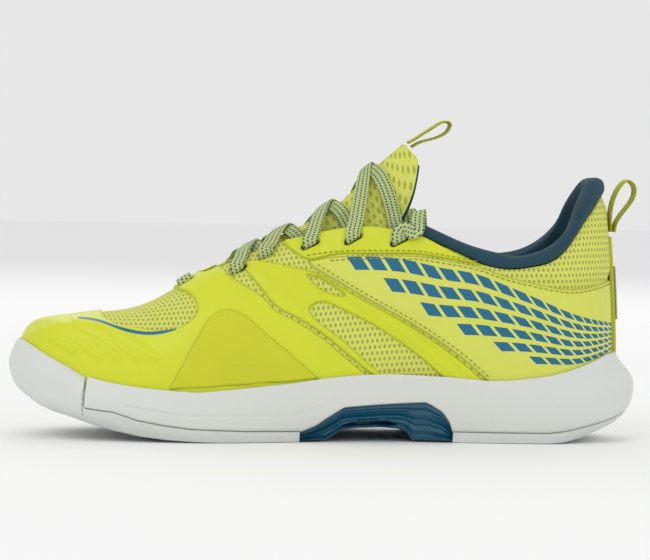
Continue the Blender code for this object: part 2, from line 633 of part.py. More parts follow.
def make_sole(collection):
    breaks = [-122, SLAB_START - 1, SLAB_START, -111, -110.2, -109.6, -108.8, -104, -95, -75, -50, -12.4,
              -12, -5, 0, 4, 7.5, 15, 26, 34, 38, 41, 48, 54, 57.6, 59, 59.4, 104]
    t = sole_stations(breaks)
    y = EDGE_Y(t)
    make_midsole(t[y > SLAB_START - 0.1], collection)
    bottom_shell("outsole_forefoot", t[y < -12.2], "rubber", collection)
    is_shank = (y > SHANK_SPAN[0] - 0.1) & (y < SHANK_SPAN[1] + 0.1)
    bottom_shell("midfoot_shank", t[is_shank], "shank", collection)
    bottom_shell("outsole_heel", t[y > 59.2], "rubber", collection)
    inside = OVERLAY_THICKNESS + MESH_THICKNESS + 2 * LAYER_GAP
    smooth = np.concatenate([np.arange(0, 2, 0.25), np.arange(2, HEEL - 2, 0.5),
                             np.arange(HEEL - 2, HEEL + 0.1, 0.25)])
    flat_layer("strobel_board", smooth, inside, -BOARD_THICKNESS - 0.3, -0.3, "board", collection)
    clear = -COLLAR_LINING_OUT + LINING_THICKNESS + 0.8
    flat_layer("insole", smooth, clear, 0.4, 0.4 + INSOLE_THICKNESS, "teal", collection)


# ---- the upper ----

def eyelet_frames(side):
    """Place and axes of each lace slot: along the throat, across it and out of the upper."""
    frames = []
    for t, th in side_coords(EYELETS):
        place = skin(t, th, side, 0.0)
        out = normal(np.array(t), np.array(th), side)
        ahead = last(np.array(t + 0.05), np.array(th), side) - last(np.array(t - 0.05), np.array(th), side)
        ahead = ahead - out * (ahead @ out)
        ahead = ahead / np.linalg.norm(ahead)
        frames.append((place, ahead, np.cross(out, ahead), out))
    return frames


def slot_cutter(name, frames, collection):
    """Blocks through every layer of the upper, one at each of the given lace slots, as one cutter."""
    half = np.array([LACE_WIDTH / 2 + SLOT_CLEARANCE, LACE_THICKNESS / 2 + SLOT_CLEARANCE, SLOT_DEPTH / 2])
    corners = np.array([(x, y, z) for x in (-1, 1) for y in (-1, 1) for z in (-1, 1)]) * half
    sides = [(0, 1, 3, 2), (4, 6, 7, 5), (0, 4, 5, 1), (2, 3, 7, 6), (0, 2, 6, 4), (1, 5, 7, 3)]
    points = []
    faces = []
    for place, ahead, across, out in frames:
        centre = place - out * SLOT_DROP
        faces += [tuple(v + len(points) for v in side) for side in sides]
        points += list(centre + corners @ np.array([ahead, across, out]))
    obj = new_object(name, np.array(points), faces, "stiffener", collection)
    body = bmesh.new()
    body.from_mesh(obj.data)
    bmesh.ops.recalc_face_normals(body, faces=body.faces)
    body.to_mesh(obj.data)
    body.free()
    hide_cutter(obj)
    return obj


def upper_stations():
    throat = THROAT_BASE + np.array([0, 0.14, 0.34])
    return np.concatenate([np.arange(0, 2, 0.25), np.arange(2, THROAT_BASE - 0.2, 0.5), throat,
                           np.arange(THROAT_BASE + 0.7, HEEL - 2.2, 0.62),
                           np.arange(HEEL - 2, HEEL + 0.1, 0.25)])


def make_upper(collection, cutters):
    frames = {side: eyelet_frames(side) for side in (MEDIAL, LATERAL)}
    every_slot = slot_cutter("every_slot", frames[MEDIAL] + frames[LATERAL], cutters)
    front_slots = slot_cutter("front_slots", frames[MEDIAL][:1] + frames[LATERAL][:1], cutters)

    t = upper_stations()
    rows = spread_rows(0 * t, top_angle(t), UPPER_ROWS)
    mesh = around("upper_base_mesh", t, rows, MESH_OUT, MESH_THICKNESS, "mesh", collection)
    cut(mesh, every_slot)

    # The vamp lining sits close under the throat's edge and deeper over the toe, where the puff backs it.
    front = t[t < 8.3]
    rows = spread_rows(0 * front, top_angle(front), UPPER_ROWS)
    under_puff = np.clip((PUFF_HEIGHT + 0.25 - rows) / 0.2, 0, 1)
    deep = np.clip((THROAT_BASE - 0.9 - front) / 0.8, 0, 1)[:, None] * under_puff
    tip = np.clip(1.5 - front, 0, 1)[:, None] * TIP_CLEARANCE
    offset = EDGE_LINING_OUT * (1 - deep) + VAMP_LINING_OUT * deep - tip
    lining = around("vamp_lining", front, rows, offset, LINING_THICKNESS, "mesh", collection)
    cut(lining, every_slot)

    puff = t[t < 3.3]
    rows = spread_rows(0 * puff, 0 * puff + PUFF_HEIGHT, 8)
    around("toe_puff", puff, rows, STIFFENER_OUT, COUNTER_THICKNESS, "stiffener", collection)

    make_vamp_overlay(collection, cutters, front_slots)
    for side, word in ((MEDIAL, "medial"), (LATERAL, "lateral")):
        make_side(side, word, frames[side], collection, cutters)
    make_heel(collection)


def make_vamp_overlay(collection, cutters, front_slots):
    """Fused film over the toe and vamp, cut away over the toe window."""
    rear = side_coords(resample(VAMP_REAR, 12))
    base = upper_stations()
    t = np.array(sorted(set(np.round(np.concatenate([base[base < rear[-1, 0]], rear[:, 0]]), 6))))
    t = t[np.concatenate([[True], np.diff(t) > 0.03])]
    high = np.where(t < rear[0, 0], top_angle(t), np.interp(t, rear[:, 0], rear[:, 1]))
    low = np.minimum(sole_angle(t, 4), high - 0.02)
    rows = np.clip(spread_rows(0 * t, top_angle(t), UPPER_ROWS), low[:, None], high[:, None])
    rows[:, -1] = high
    film = around("toe_overlay", t, rows, 0.05, OVERLAY_THICKNESS, "lime", collection)
    cut(film, window_cutter("toe_window", TOE_WINDOW, 0, cutters))
    cut(film, front_slots)


def make_side(side, word, frames, collection, cutters):
    ruled_patch("forefoot_guard_" + word, GUARD_FRONT, GUARD_REAR, 8, 6, side, GUARD_THICKNESS + 0.3,
                GUARD_THICKNESS, "lime_dark", collection)
    cage = ruled_patch("cage_" + word, CAGE_FRONT, CAGE_TOP, 12, 7, side, 0.0, OVERLAY_THICKNESS, "lime",
                       collection)
    cut(cage, slot_cutter("cage_slot_" + word, frames[1:2], cutters))
    cut(cage, window_cutter("cage_window_" + word, CAGE_WINDOW, side, cutters))
    cut(cage, window_cutter("side_window_" + word, SIDE_WINDOW, side, cutters))
    ruled_patch("quarter_panel_" + word, QUARTER_FRONT, QUARTER_TOP, 22, 6, side, 0.0, OVERLAY_THICKNESS,
                "lime_pale", collection)
    eyestay = ruled_patch("eyestay_" + word, EYESTAY_LOW, EYESTAY_TOP, 14, 3, side, 0.0, OVERLAY_THICKNESS,
                          "lime", collection)
    cut(eyestay, slot_cutter("eyestay_slots_" + word, frames[3:], cutters))


def make_heel(collection):
    counter = np.concatenate([np.arange(10.6, HEEL - 2, 0.5), np.arange(HEEL - 2, HEEL + 0.1, 0.25)])
    low = side_angle(counter, FLOOR_Z(counter) + 3)
    high = side_angle(counter, 54 + 4 * (counter - 11))
    around("heel_counter", counter, spread_rows(low, high, 5), STIFFENER_OUT, COUNTER_THICKNESS, "stiffener",
           collection)
    strip = np.array([13.4, 13.6, 13.8, HEEL])
    low, high = [side_angle(strip, z + 0 * strip) for z in (41, 96)]
    around("backstay", strip, spread_rows(low, high, 9), 1.9, 1.5, "lime_dark", collection)
    foam = np.concatenate([np.arange(8.5, HEEL - 2, 0.5), np.arange(HEEL - 2, HEEL + 0.1, 0.25)])
    collar = side_coords(resample(COLLAR, 120))
    edge = np.interp(foam, collar[:, 0], collar[:, 1])
    reach = np.maximum(side_angle(foam, 68 + 0 * foam), 0.1)
    rows = spread_rows(np.minimum(reach, edge - 0.15), edge - 0.02, 4)
    around("collar_foam", foam, rows, FOAM_OUT, FOAM_THICKNESS, "foam", collection)
    shine = np.array([13.72, 13.86, HEEL])
    low, high = [side_angle(shine, z + 0 * shine) for z in (57, 82)]
    around("heel_reflector", shine, spread_rows(low, high, 5), 3.0, 0.8, "aglet", collection)
    strap("heel_pull_loop", HEEL_LOOP, "lime", collection)
    make_collar_lining(collection)


def make_collar_lining(collection):
    """Lining inside the heel and collar, rolled out over the foam's top to the upper's edge."""
    t = np.concatenate([[8.45], np.arange(8.8, HEEL - 2, 0.5), np.arange(HEEL - 2, HEEL + 0.1, 0.25)])
    collar = side_coords(resample(COLLAR, 120))
    crown = side_coords(resample(COLLAR_TOP, 120))
    edge = np.interp(t, collar[:, 0], collar[:, 1])
    top = np.maximum(np.interp(t, crown[:, 0], crown[:, 1]), edge + 0.04)
    floor = 0 * t
    gap = 0.014
    deep = COLLAR_LINING_OUT - LINING_THICKNESS
    middle = edge * 0.5 + top * 0.5
    rows = [(edge + gap, 0 * t - 0.5), (middle, 0 * t - 0.3), (top, 0 * t - 2.4)]
    rows += [(top, 0 * t + deep + 2.2), (middle, 0 * t + deep), (edge - 0.05, 0 * t + deep)]
    rows += [(floor + (edge - 0.05 - floor) * k, 0 * t + deep) for k in (0.66, 0.33, 0)]
    th = np.stack([row[0] for row in rows], 1)
    offset = np.stack([row[1] for row in rows], 1)
    stations = np.broadcast_to(t[:, None], th.shape)
    grid = np.concatenate([skin(stations, th, MEDIAL, offset), skin(stations, th, LATERAL, offset)[::-1]])
    columns, rows_count = grid.shape[:2]
    faces = grid_faces(columns, rows_count, False)
    obj = new_object("collar_lining", grid.reshape(-1, 3), faces, "teal", collection)
    turn_towards(obj, Vector((0, 0.06, 0.07)), True)
    solidify = obj.modifiers.new("thickness", "SOLIDIFY")
    solidify.thickness = LINING_THICKNESS * MM
    solidify.offset = -1
    solidify.use_even_offset = False


def turn_towards(obj, point, towards):
    """Turns the whole open surface so that its lower faces point towards the given point, or away."""
    total = 0.0
    for face in obj.data.polygons:
        if face.center.z < 0.07:
            total += face.normal.dot(point - face.center)
    if (total > 0) != towards:
        obj.data.flip_normals()


def strap(name, path, colour, collection):
    """Webbing strap: a side-view path, thickened, as wide as STRAP_WIDTH along X."""
    points = resample(path, 3 * len(path)) * GRADE[1:]
    run = np.gradient(points, axis=0)
    run = run / np.linalg.norm(run, axis=1, keepdims=True)
    side = np.stack([-run[:, 1], run[:, 0]], -1) * STRAP_THICKNESS / 2
    rings = []
    for p, s in zip(points, side):
        a = p + s
        b = p - s
        x = STRAP_WIDTH / 2
        rings.append([(-x, *a), (x, *a), (x, *b), (-x, *b)])
    return loft(name, np.array(rings), colour, collection)


# ---- the tongue ----

TONGUE_EDGE = [(5.0, 1.12), (5.5, 1.0), (6.2, 0.86), (7.0, 0.76), (7.7, 0.72), (8.08, 0.74), (8.16, 0.82),
               (8.28, 0.9), (8.44, 1.02), (8.54, 1.2)]
TONGUE_CENTRE = [4.9, 5.4, 6.0, 6.6, 7.2, 7.6, 7.85, 8.05, 8.22, 8.38]
TONGUE_STACKING = 0.8
TONGUE_GAP = 0.4
THROAT_DIP = 1.3
TONGUE_EMERGES = (7.3, 7.9)


def tongue_offset(t, th):
    """Offset of the tongue's outer face: high between the throat's edges, and low under them."""
    across = np.clip((pi / 2 - th) / np.maximum(pi / 2 - top_angle(t), 0.02) / 0.8, 0, 1)
    inside = TONGUE_CREST + (TONGUE_UNDER - TONGUE_CREST) * across**2
    base = np.clip((THROAT_BASE + 1.0 - t) / 0.55, 0, 1)
    root = np.minimum(VAMP_LINING_OUT - LINING_THICKNESS - LAYER_GAP, TONGUE_UNDER) - THROAT_DIP
    inside = inside * (1 - base) + root * base
    out = np.clip((t - TONGUE_EMERGES[0]) / (TONGUE_EMERGES[1] - TONGUE_EMERGES[0]), 0, 1)
    free = TONGUE_UNDER * across**2
    return inside * (1 - out) + free * out


def make_slab(name, outer, inner, colour, collection):
    """Closed solid between two grids of points with the same columns and rows."""
    columns, rows = outer.shape[:2]
    count = columns * rows
    top = []
    for a, b, c, d in grid_faces(columns, rows, False):
        top += [(a, b, c), (a, c, d)]
    bottom = [(c + count, b + count, a + count) for a, b, c in top]
    rim = [i * rows for i in range(columns)] + [(columns - 1) * rows + j for j in range(1, rows)]
    rim += [i * rows + rows - 1 for i in range(columns - 2, -1, -1)] + list(range(rows - 2, 0, -1))
    walls = [(a, a + count, b + count, b) for a, b in zip(rim, rim[1:] + rim[:1])]
    points = np.concatenate([outer.reshape(-1, 3), inner.reshape(-1, 3)])
    obj = new_object(name, points, top + bottom + walls, colour, collection)
    body = bmesh.new()
    body.from_mesh(obj.data)
    bmesh.ops.recalc_face_normals(body, faces=body.faces)
    body.to_mesh(obj.data)
    body.free()
    return obj


def tongue_layer(name, depth, thickness, trim, colour, collection):
    """One layer of the tongue, a given depth below its outer face, trimmed by so many rows at the edges."""
    edge = np.asarray(TONGUE_EDGE)
    centre = np.asarray(TONGUE_CENTRE)
    key = np.linspace(0, 1, len(edge))
    s = np.linspace(0, 1, 17)[trim:17 - trim]
    edge_t, edge_th = [np.interp(s, key, edge[:, i]) for i in range(2)]
    centre_t = np.interp(s, np.linspace(0, 1, len(centre)), centre)
    grids = []
    shares = np.linspace(0, 1, 7)[:7 - trim]
    for side, c in ((MEDIAL, shares[None, ::-1]), (LATERAL, shares[None, 1:])):
        t = centre_t[:, None] + (edge_t - centre_t)[:, None] * c**2
        th = pi / 2 - (pi / 2 - edge_th)[:, None] * c
        th = np.where(c < 1e-9, pi / 2, th)
        face = skin(t, th, side, tongue_offset(t, th))
        # The layers are stacked along one shared direction, part way between the normal and straight up.
        down = -normal(t, th, side) - np.array([0.0, 0.0, TONGUE_STACKING])
        down = down / np.linalg.norm(down, axis=-1, keepdims=True)
        grids.append([face + down * depth, face + down * (depth + thickness)])
    outer, inner = [np.concatenate([half[i] for half in grids], 1) for i in range(2)]
    return make_slab(name, outer, inner, colour, collection)


def make_tongue(collection):
    cover = MESH_THICKNESS
    foam = cover + TONGUE_GAP
    lining = foam + TONGUE_FOAM_THICKNESS + TONGUE_GAP
    tongue_layer("tongue_shell", 0.0, cover, 0, "mesh", collection)
    tongue_layer("tongue_foam", foam, TONGUE_FOAM_THICKNESS, 1, "foam", collection)
    tongue_layer("tongue_lining", lining, LINING_THICKNESS, 0, "teal", collection)
    strap("tongue_pull_loop", TONGUE_LOOP, "lime", collection)


# ---- the lace ----

LACE_OVER = LACE_GAP + LACE_THICKNESS / 2
LACE_BELOW = UNDER_EDGE - LACE_OVER
LACE_ON_TONGUE = LACE_OVER + 0.8
LACE_STEP = 6.0
TAIL_STATION = 8.52


def contact_offset(t, th):
    """Offset of a lace that rests on the tongue, or that runs between the tongue and the lining's edge."""
    edge = np.maximum(top_angle(t - 0.3), top_angle(t)) + 0.05
    below = LACE_BELOW - THROAT_DIP * np.clip((THROAT_BASE + 0.4 - t) / 0.2, 0, 1)
    return np.minimum(tongue_offset(t, th) + LACE_ON_TONGUE, np.where(th <= edge, below, 9.0))


def route_points(keys, step):
    """Rows of (station, angle round both sides, offset) between the key rows, stepped by distance."""
    rows = [keys[0]]
    for a, b in zip(keys[:-1], keys[1:]):
        reach = np.linalg.norm(lace_place(*a) - lace_place(*b))
        count = max(1, int(np.ceil(reach / step)))
        rows += [a + (b - a) * k / count for k in range(1, count + 1)]
    return np.array(rows)


def lace_place(t, phi, offset):
    """Graded point of the route: phi runs from the medial sole edge over the crest to the lateral one."""
    medial = skin(t, np.minimum(phi, pi / 2), MEDIAL, offset)
    lateral = skin(t, np.minimum(pi - np.asarray(phi), pi / 2), LATERAL, offset)
    return np.where((np.asarray(phi) <= pi / 2)[..., None], medial, lateral)


def strand(start, end, side, over, from_below):
    """Key rows of one crossing from an eyelet on one side to the next eyelet on the other side."""
    rows = []
    phi_a = start[1] if side == MEDIAL else pi - start[1]
    phi_b = pi - end[1] if side == MEDIAL else end[1]
    shares = np.linspace(0.1, 0.92, 13)
    for k in shares:
        t = start[0] + (end[0] - start[0]) * k
        phi = phi_a + (phi_b - phi_a) * k
        th = min(phi, pi - phi)
        base = float(contact_offset(t, np.array(th)))
        crest = float(tongue_offset(t, np.array(pi / 2))) + LACE_ON_TONGUE + over
        across = float(np.clip((pi / 2 - th) / max(pi / 2 - float(top_angle(t)), 0.02), 0, 1))
        leaving = (phi < pi / 2) == (side == MEDIAL)
        if leaving and not from_below:
            offset = crest + (LACE_OVER - crest) * min(1.0, across * 1.1)
        else:
            offset = base + over * max(0.0, 1 - across / 0.7)
        rows.append((t, phi, offset))
    return rows


def half_lace(side):
    """Key rows of half the lace, from the middle of the front bar to its tucked-in end."""
    eyelets = side_coords(EYELETS)
    turn = 0.05

    def phi_of(th, s):
        return th if s == MEDIAL else pi - th

    t, th = eyelets[0]
    rows = [(t, pi / 2, LACE_OVER), (t, phi_of((pi / 2 + th) / 2, side), LACE_OVER),
            (t, phi_of(th + turn, side), LACE_OVER + 0.1)]
    bend = [(0.5, LACE_OVER + 0.3), (0.12, 0.8), (0.0, -0.4), (0.0, LACE_BELOW + 1.3),
            (0.12, LACE_BELOW + 0.1), (0.5, LACE_BELOW - 0.15)]
    rows += [(t, phi_of(th + turn * k, side), offset) for k, offset in bend]
    for k in range(1, len(eyelets)):
        start = eyelets[k - 1]
        end = eyelets[k]
        lift = LACE_THICKNESS + 0.25 if side == MEDIAL else 0.0
        rows += strand(start, end, side, lift, k == 1)
        side = -side
        t, th = end
        rows += [(t, phi_of(th + turn * k, side), offset) for k, offset in bend[::-1]]
    crown = side_coords(resample(COLLAR_TOP, 120))
    top = float(np.interp(TAIL_STATION, crown[:, 0], crown[:, 1]))
    inside = COLLAR_LINING_OUT - LINING_THICKNESS - LACE_OVER - 0.4
    tail = [(t + 0.06, th + 0.05, 2.0), (TAIL_STATION - 0.06, top - 0.05, 2.4),
            (TAIL_STATION, top + 0.05, 0.6), (TAIL_STATION, top + 0.055, -4.8),
            (TAIL_STATION, top - 0.02, inside - 0.7), (TAIL_STATION, top - 0.12, inside - 1.1),
            (TAIL_STATION, top - 0.3, inside - 1.4)]
    rows += [(a, phi_of(b, side), c) for a, b, c in tail]
    return np.array(rows)


def lace_route():
    """Rows along the whole lace, from its medial end to its lateral end."""
    one = route_points(half_lace(LATERAL), LACE_STEP)
    other = route_points(half_lace(MEDIAL), LACE_STEP)
    return np.concatenate([one[::-1], other[1:]])


def surface_normals(rows):
    """Outward normals of the last under each row of the route."""
    medial = normal(rows[:, 0], np.minimum(rows[:, 1], pi / 2 - 0.01), MEDIAL)
    lateral = normal(rows[:, 0], np.minimum(pi - rows[:, 1], pi / 2 - 0.01), LATERAL)
    return np.where((rows[:, 1] <= pi / 2)[:, None], medial, lateral)


def lace_frames(rows):
    """Centre, run, width direction and face direction at each row of the route, without sudden turns."""
    t, phi, offset = rows.T
    centre = lace_place(t, phi, offset)
    ahead = lace_place(t + 0.03, phi, offset) - lace_place(t - 0.03, phi, offset)
    ahead = ahead / np.linalg.norm(ahead, axis=1, keepdims=True)
    run = np.gradient(centre, axis=0)
    run = run / np.linalg.norm(run, axis=1, keepdims=True)
    lengthwise = ahead - run * (ahead * run).sum(1)[:, None]
    flat = np.cross(surface_normals(rows), run)
    width = []
    before = flat[0]
    for a, b in zip(lengthwise, flat):
        w = a * np.sign(a @ before + 1e-9) + b * np.sign(b @ before + 1e-9)
        before = w / np.linalg.norm(w)
        width.append(before)
    width = np.array(width)
    return centre, run, width, np.cross(run, width)


def make_lace(collection):
    centre, run, width, face = lace_frames(lace_route())
    w = width * LACE_WIDTH / 2
    f = face * LACE_THICKNESS / 2
    rings = np.stack([centre - w - f, centre + w - f, centre + w + f, centre - w + f], 1)
    loft("lace", rings, "lace", collection)
    for name, end, direction in (("aglet_medial", 0, -1), ("aglet_lateral", -1, 1)):
        turn = np.linspace(0, 2 * pi, 11)[:-1]
        oval = width[end] * AGLET_WIDTH / 2 * np.cos(turn)[:, None]
        oval = oval + face[end] * AGLET_THICKNESS / 2 * np.sin(turn)[:, None]
        ahead = run[end] * direction
        rings = [centre[end] + ahead * d + oval for d in (LACE_GAP, AGLET_LENGTH)]
        loft(name, np.array(rings), "aglet", collection)


# ---- build ----

def main():
    clear_scene()
    shoe = new_collection("court_shoe", False)
    cutters = new_collection("cutters", True)
    make_sole(shoe)
    make_upper(shoe, cutters)
    make_tongue(shoe)
    make_lace(shoe)


main()
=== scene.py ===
"""Visual model of a low court shoe: films over knit, a sole unit, a padded collar, a tongue and a lace.

The toe points along -Y, the medial side is +X and the ground is z = 0. Shapes are worked out in
millimetres and become metres when they are put into a mesh. The upper is a smooth foot-shaped last:
a point of it has a station t (0 at the toe, 14 at the heel), an angle th (0 at the sole edge, 90
degrees at the crest) and a side (+1 medial, -1 lateral). Layers are the last moved along its normal.
"""

from math import pi, radians

import bmesh
import bpy
import numpy as np
from bpy.props import FloatProperty, FloatVectorProperty, PointerProperty
from mathutils import Matrix, Vector


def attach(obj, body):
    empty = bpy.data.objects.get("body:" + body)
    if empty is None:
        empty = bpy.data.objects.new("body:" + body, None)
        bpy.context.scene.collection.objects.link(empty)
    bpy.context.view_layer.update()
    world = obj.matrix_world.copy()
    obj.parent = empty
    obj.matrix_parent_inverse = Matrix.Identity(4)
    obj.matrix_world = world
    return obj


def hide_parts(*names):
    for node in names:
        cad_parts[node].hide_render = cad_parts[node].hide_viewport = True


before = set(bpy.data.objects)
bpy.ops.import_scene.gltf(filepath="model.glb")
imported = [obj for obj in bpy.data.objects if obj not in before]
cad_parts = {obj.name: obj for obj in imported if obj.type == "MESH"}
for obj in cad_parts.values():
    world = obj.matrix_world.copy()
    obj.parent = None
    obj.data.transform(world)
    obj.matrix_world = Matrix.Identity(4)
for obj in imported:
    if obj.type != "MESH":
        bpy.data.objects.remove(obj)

bl_info = {
    "name": "Court shoe",
    "version": (1, 0, 0),
    "blender": (4, 5, 0),
    "location": "View3D > Sidebar > Court shoe",
    "description": "Makes the visible pieces of a low court shoe",
    "category": "Object",
}

# Sizes that the shapes share, in millimetres.
LINING_THICKNESS = 1.0
OUTSOLE_THICKNESS = 3.0
CUP_WALL = 1.4
CUP_GAP = 0.6
LACE_WIDTH = 7.0
LACE_THICKNESS = 1.2
LACE_GAP = 0.5
LACE_RING_GAP = 1.6
TIP_HALF_WIDTH = 2.2
STRAP_WIDTH = 11.0
STRAP_THICKNESS = 1.2
TIP_HALF_THICKNESS = 1.2
LAYER_GAP = 0.8
MM = 0.001
CENTRE_SHIFT = np.array([3.3, -1.5, 0.0])

# Depths of the layers below the last's own surface, as offsets along its normal.
VAMP_LINING_OUT = -6.0
EDGE_LINING_OUT = -4.0
COLLAR_LINING_OUT = -7.2
UNDER_EDGE = EDGE_LINING_OUT - LINING_THICKNESS
TONGUE_UNDER = UNDER_EDGE - 2 * LACE_GAP - LACE_THICKNESS - 0.9
TONGUE_CREST = -2.5
TIP_CLEARANCE = 0.9
PUFF_HEIGHT = 1.1
KNIT_OUT = -1.1
FILM_ROOT = -2.1
FILM_THICKNESS = 0.8
KNIT_THICKNESS = 1.1

# Stations of the last: sole edge y, medial x and lateral x, then crest y, x and z, floor z, squareness.
LAST = np.array([
    (-143.0, 9.0, 9.0, -124.0, 9.0, 55.3, 27.0, 3.0),
    (-138.5, 24.0, -6.0, -121.0, 9.0, 55.8, 25.0, 3.0),
    (-127.0, 34.5, -20.5, -114.0, 8.8, 56.8, 21.5, 2.8),
    (-108.0, 41.5, -34.5, -101.0, 8.3, 58.9, 17.5, 2.5),
    (-85.0, 45.5, -45.5, -83.0, 7.6, 63.0, 15.0, 2.3),
    (-60.0, 46.5, -51.5, -59.5, 6.5, 77.0, 14.0, 2.15),
    (-32.0, 42.5, -51.0, -32.5, 5.0, 92.0, 15.3, 2.0),
    (-2.0, 35.5, -46.0, -2.0, 3.0, 107.0, 17.5, 2.0),
    (28.0, 33.0, -41.0, 27.0, 1.0, 130.0, 20.0, 1.9),
    (58.0, 34.0, -37.5, 54.0, 0.0, 152.0, 21.5, 1.85),
    (86.0, 36.0, -36.5, 78.0, 0.0, 166.0, 22.0, 1.8),
    (109.0, 34.5, -34.5, 96.0, 0.0, 175.0, 22.5, 1.8),
    (125.0, 27.5, -27.5, 106.0, 0.0, 181.0, 23.0, 1.8),
    (135.5, 15.0, -15.0, 112.0, 0.0, 184.0, 23.2, 1.8),
    (139.0, 0.0, 0.0, 114.0, 0.0, 185.0, 23.3, 1.8),
])
HEEL = len(LAST) - 1
MEDIAL = 1
LATERAL = -1

# Outlines in the side view, as (y, z) on the pattern.
SOLE_TOP = [(-146, 45.3), (-140.6, 44.6), (-136, 42.4), (-131.5, 39.8), (-124.5, 36.2), (-118, 32.9),
            (-112, 29.5), (-104, 27.3), (-95, 25.6), (-86, 24.4), (-73, 23.1), (-60, 22.2), (-50, 23),
            (-32, 24.7), (-16, 26.3), (0, 28.5), (16, 29.9), (30, 30.3), (45, 29.7), (60, 28.9),
            (74, 27.6), (84, 27.7), (94, 28.7), (104, 30), (114, 32.5), (125, 36.4), (132, 39.2),
            (140, 40.4)]
GROUND_LINE = [(-140, 20.5), (-133.5, 16.4), (-122, 11.5), (-110, 7.9), (-98, 4.9), (-86, 2.6),
               (-74, 1.2), (-60, 0.3), (-50, 0), (-12.4, 0), (-12, 0.7), (0, 0.8), (4, 3.2), (7.5, 5.6),
               (15, 6.4), (26, 6.8), (34, 6.2), (38, 4.6), (41, 0.9), (59, 0.7), (59.4, 0), (104, 0),
               (112, 0.6), (120, 2.2), (130, 5.2), (140, 10)]
PARTING_LINE = [(-110.2, 20.3), (-108.6, 18.1), (-104, 15.8), (-95, 12.5), (-87, 10), (-75, 7.9),
                (-63, 6.4), (-40, 5.4), (-12.4, 5), (-12, 4.5), (-5, 7.3), (0.5, 11), (7.5, 15.3),
                (15, 18.1), (23, 19.7), (35, 20.7), (42, 19.9), (48, 17.7), (54, 14.1), (57.6, 9.1),
                (59, 4.6), (59.4, 5), (104, 5), (112, 6), (120, 8), (130, 11), (140, 15.5)]
THROAT = [(-60, 77), (-56, 77.6), (-50, 80.4), (-42, 84.4), (-30, 89.4), (-19, 93.2), (-2, 97.3),
          (8, 99.2), (16.6, 100.1), (23, 100.1), (29, 99.3), (38, 98.3)]
COLLAR = [(38, 98.3), (44, 95.7), (53.4, 91.5), (62.7, 87.4), (72.8, 82.9), (78.5, 81.6), (84, 81),
          (89.8, 81.3), (95.4, 82.2), (105.2, 85), (110, 88.4), (114.2, 93.1), (119.3, 100),
          (123.4, 105.3), (126.8, 109), (130.1, 113.2), (133.9, 116.6)]
COLLAR_TOP = [(38, 105), (44, 101.8), (53.6, 97.2), (62.8, 93.1), (71, 90.3), (81, 87.9), (87, 86.9),
              (93, 87.5), (98, 88.8), (104.7, 92), (109, 95.1), (113.2, 99.2), (117, 104.6),
              (119.6, 110.3), (123, 116.2), (126, 120.4), (129, 123.4), (133, 124)]
CAGE_FRONT = [(-41, 82), (-36, 76.6), (-32, 72), (-28.2, 67.3), (-24.4, 62.9), (-16.4, 58.4),
              (-6.3, 52.6), (0.8, 47.7), (6, 43.4), (15.3, 35.7), (28, 25.5)]
VAMP_REAR = [(-50, 80.4), (-44, 75.8), (-36, 71), (-28.6, 66), (-24.6, 61.6), (-16.6, 57.2), (-6.6, 51.4),
             (0.4, 46.5), (5.4, 42.3), (14.6, 34.7), (25.5, 25.8)]
CAGE_TOP = [(-39.5, 83), (-32, 83.6), (-24, 82.6), (-14, 80.6), (-5.5, 78.3), (4.7, 72.9), (15.8, 66.5),
            (30.5, 58.7), (50, 47.2), (64, 37), (74, 28.2), (78, 24.2)]
QUARTER_FRONT = [(-9.3, 83.2), (-6.2, 80.7), (4.7, 74.2), (15.8, 67.8), (30.5, 60), (50, 48.5),
                 (64.6, 38), (74.3, 29.4), (79.5, 24.2), (90, 24.8), (104, 26.2), (114, 28.5),
                 (125, 32.4), (132, 35), (138.2, 36.5)]
QUARTER_TOP = [(-9.3, 83.2), (1.4, 85.2), (16, 86.2), (31, 86.5), (43, 86.3), (57, 84.4), (64, 83.3),
               (69, 82.2), (73, 81.2), (80.7, 78.4), (89.7, 76.1), (98.2, 74.3), (106.8, 72.7),
               (115.6, 72), (125, 73.3), (136.6, 76)]
EYESTAY_LOW = [(-19.8, 91.2), (-13.4, 86.3), (-9.3, 84.4), (1.4, 86.1), (16, 87.1), (31, 87.4),
               (43, 87.2), (57, 85.2), (64, 84.1), (72, 82.6)]
EYESTAY_TOP = [(-19.5, 93), (-10.8, 95), (-2, 97.3), (8, 99.2), (16.6, 100.1), (23, 100.1), (29, 99.3),
               (38, 98.3), (53.4, 91.5), (72.4, 83)]
GUARD_FRONT = [(-73.5, 24), (-66.5, 37), (-59.5, 50), (-53, 58.5), (-47.5, 61.4)]
GUARD_REAR = [(-2.6, 28.9), (-8, 33.6), (-17, 41.4), (-32, 53.6), (-42.3, 60.6), (-47.5, 61.4)]
TOE_WINDOW = [(-103.5, 57), (-101, 55.2), (-91, 52.8), (-81, 51.5), (-71.5, 51.8), (-64.5, 54.9),
              (-61, 58.8), (-60.3, 63), (-62.5, 66.5), (-76, 70), (-90, 70), (-103, 66)]
CAGE_WINDOW = [(-8.5, 61.6), (-6.7, 58.6), (0.7, 52.3), (11, 44.3), (19.5, 36.6), (30, 28.5), (42, 22),
               (62, 22), (53.5, 30.8), (47, 36.7), (35.5, 45.3), (23, 53.4), (16, 57.1), (5.3, 62),
               (-4.3, 64.6)]
SIDE_WINDOW = [(-9.5, 77.4), (-3, 75.3), (4, 71.2), (8.5, 67.6), (1, 69), (-5, 72.6)]
EYELETS = [(-65.2, 72.6), (-41.4, 79.4), (-28, 86.6), (-7.6, 90.9), (12.3, 93.8), (33.6, 93.2)]

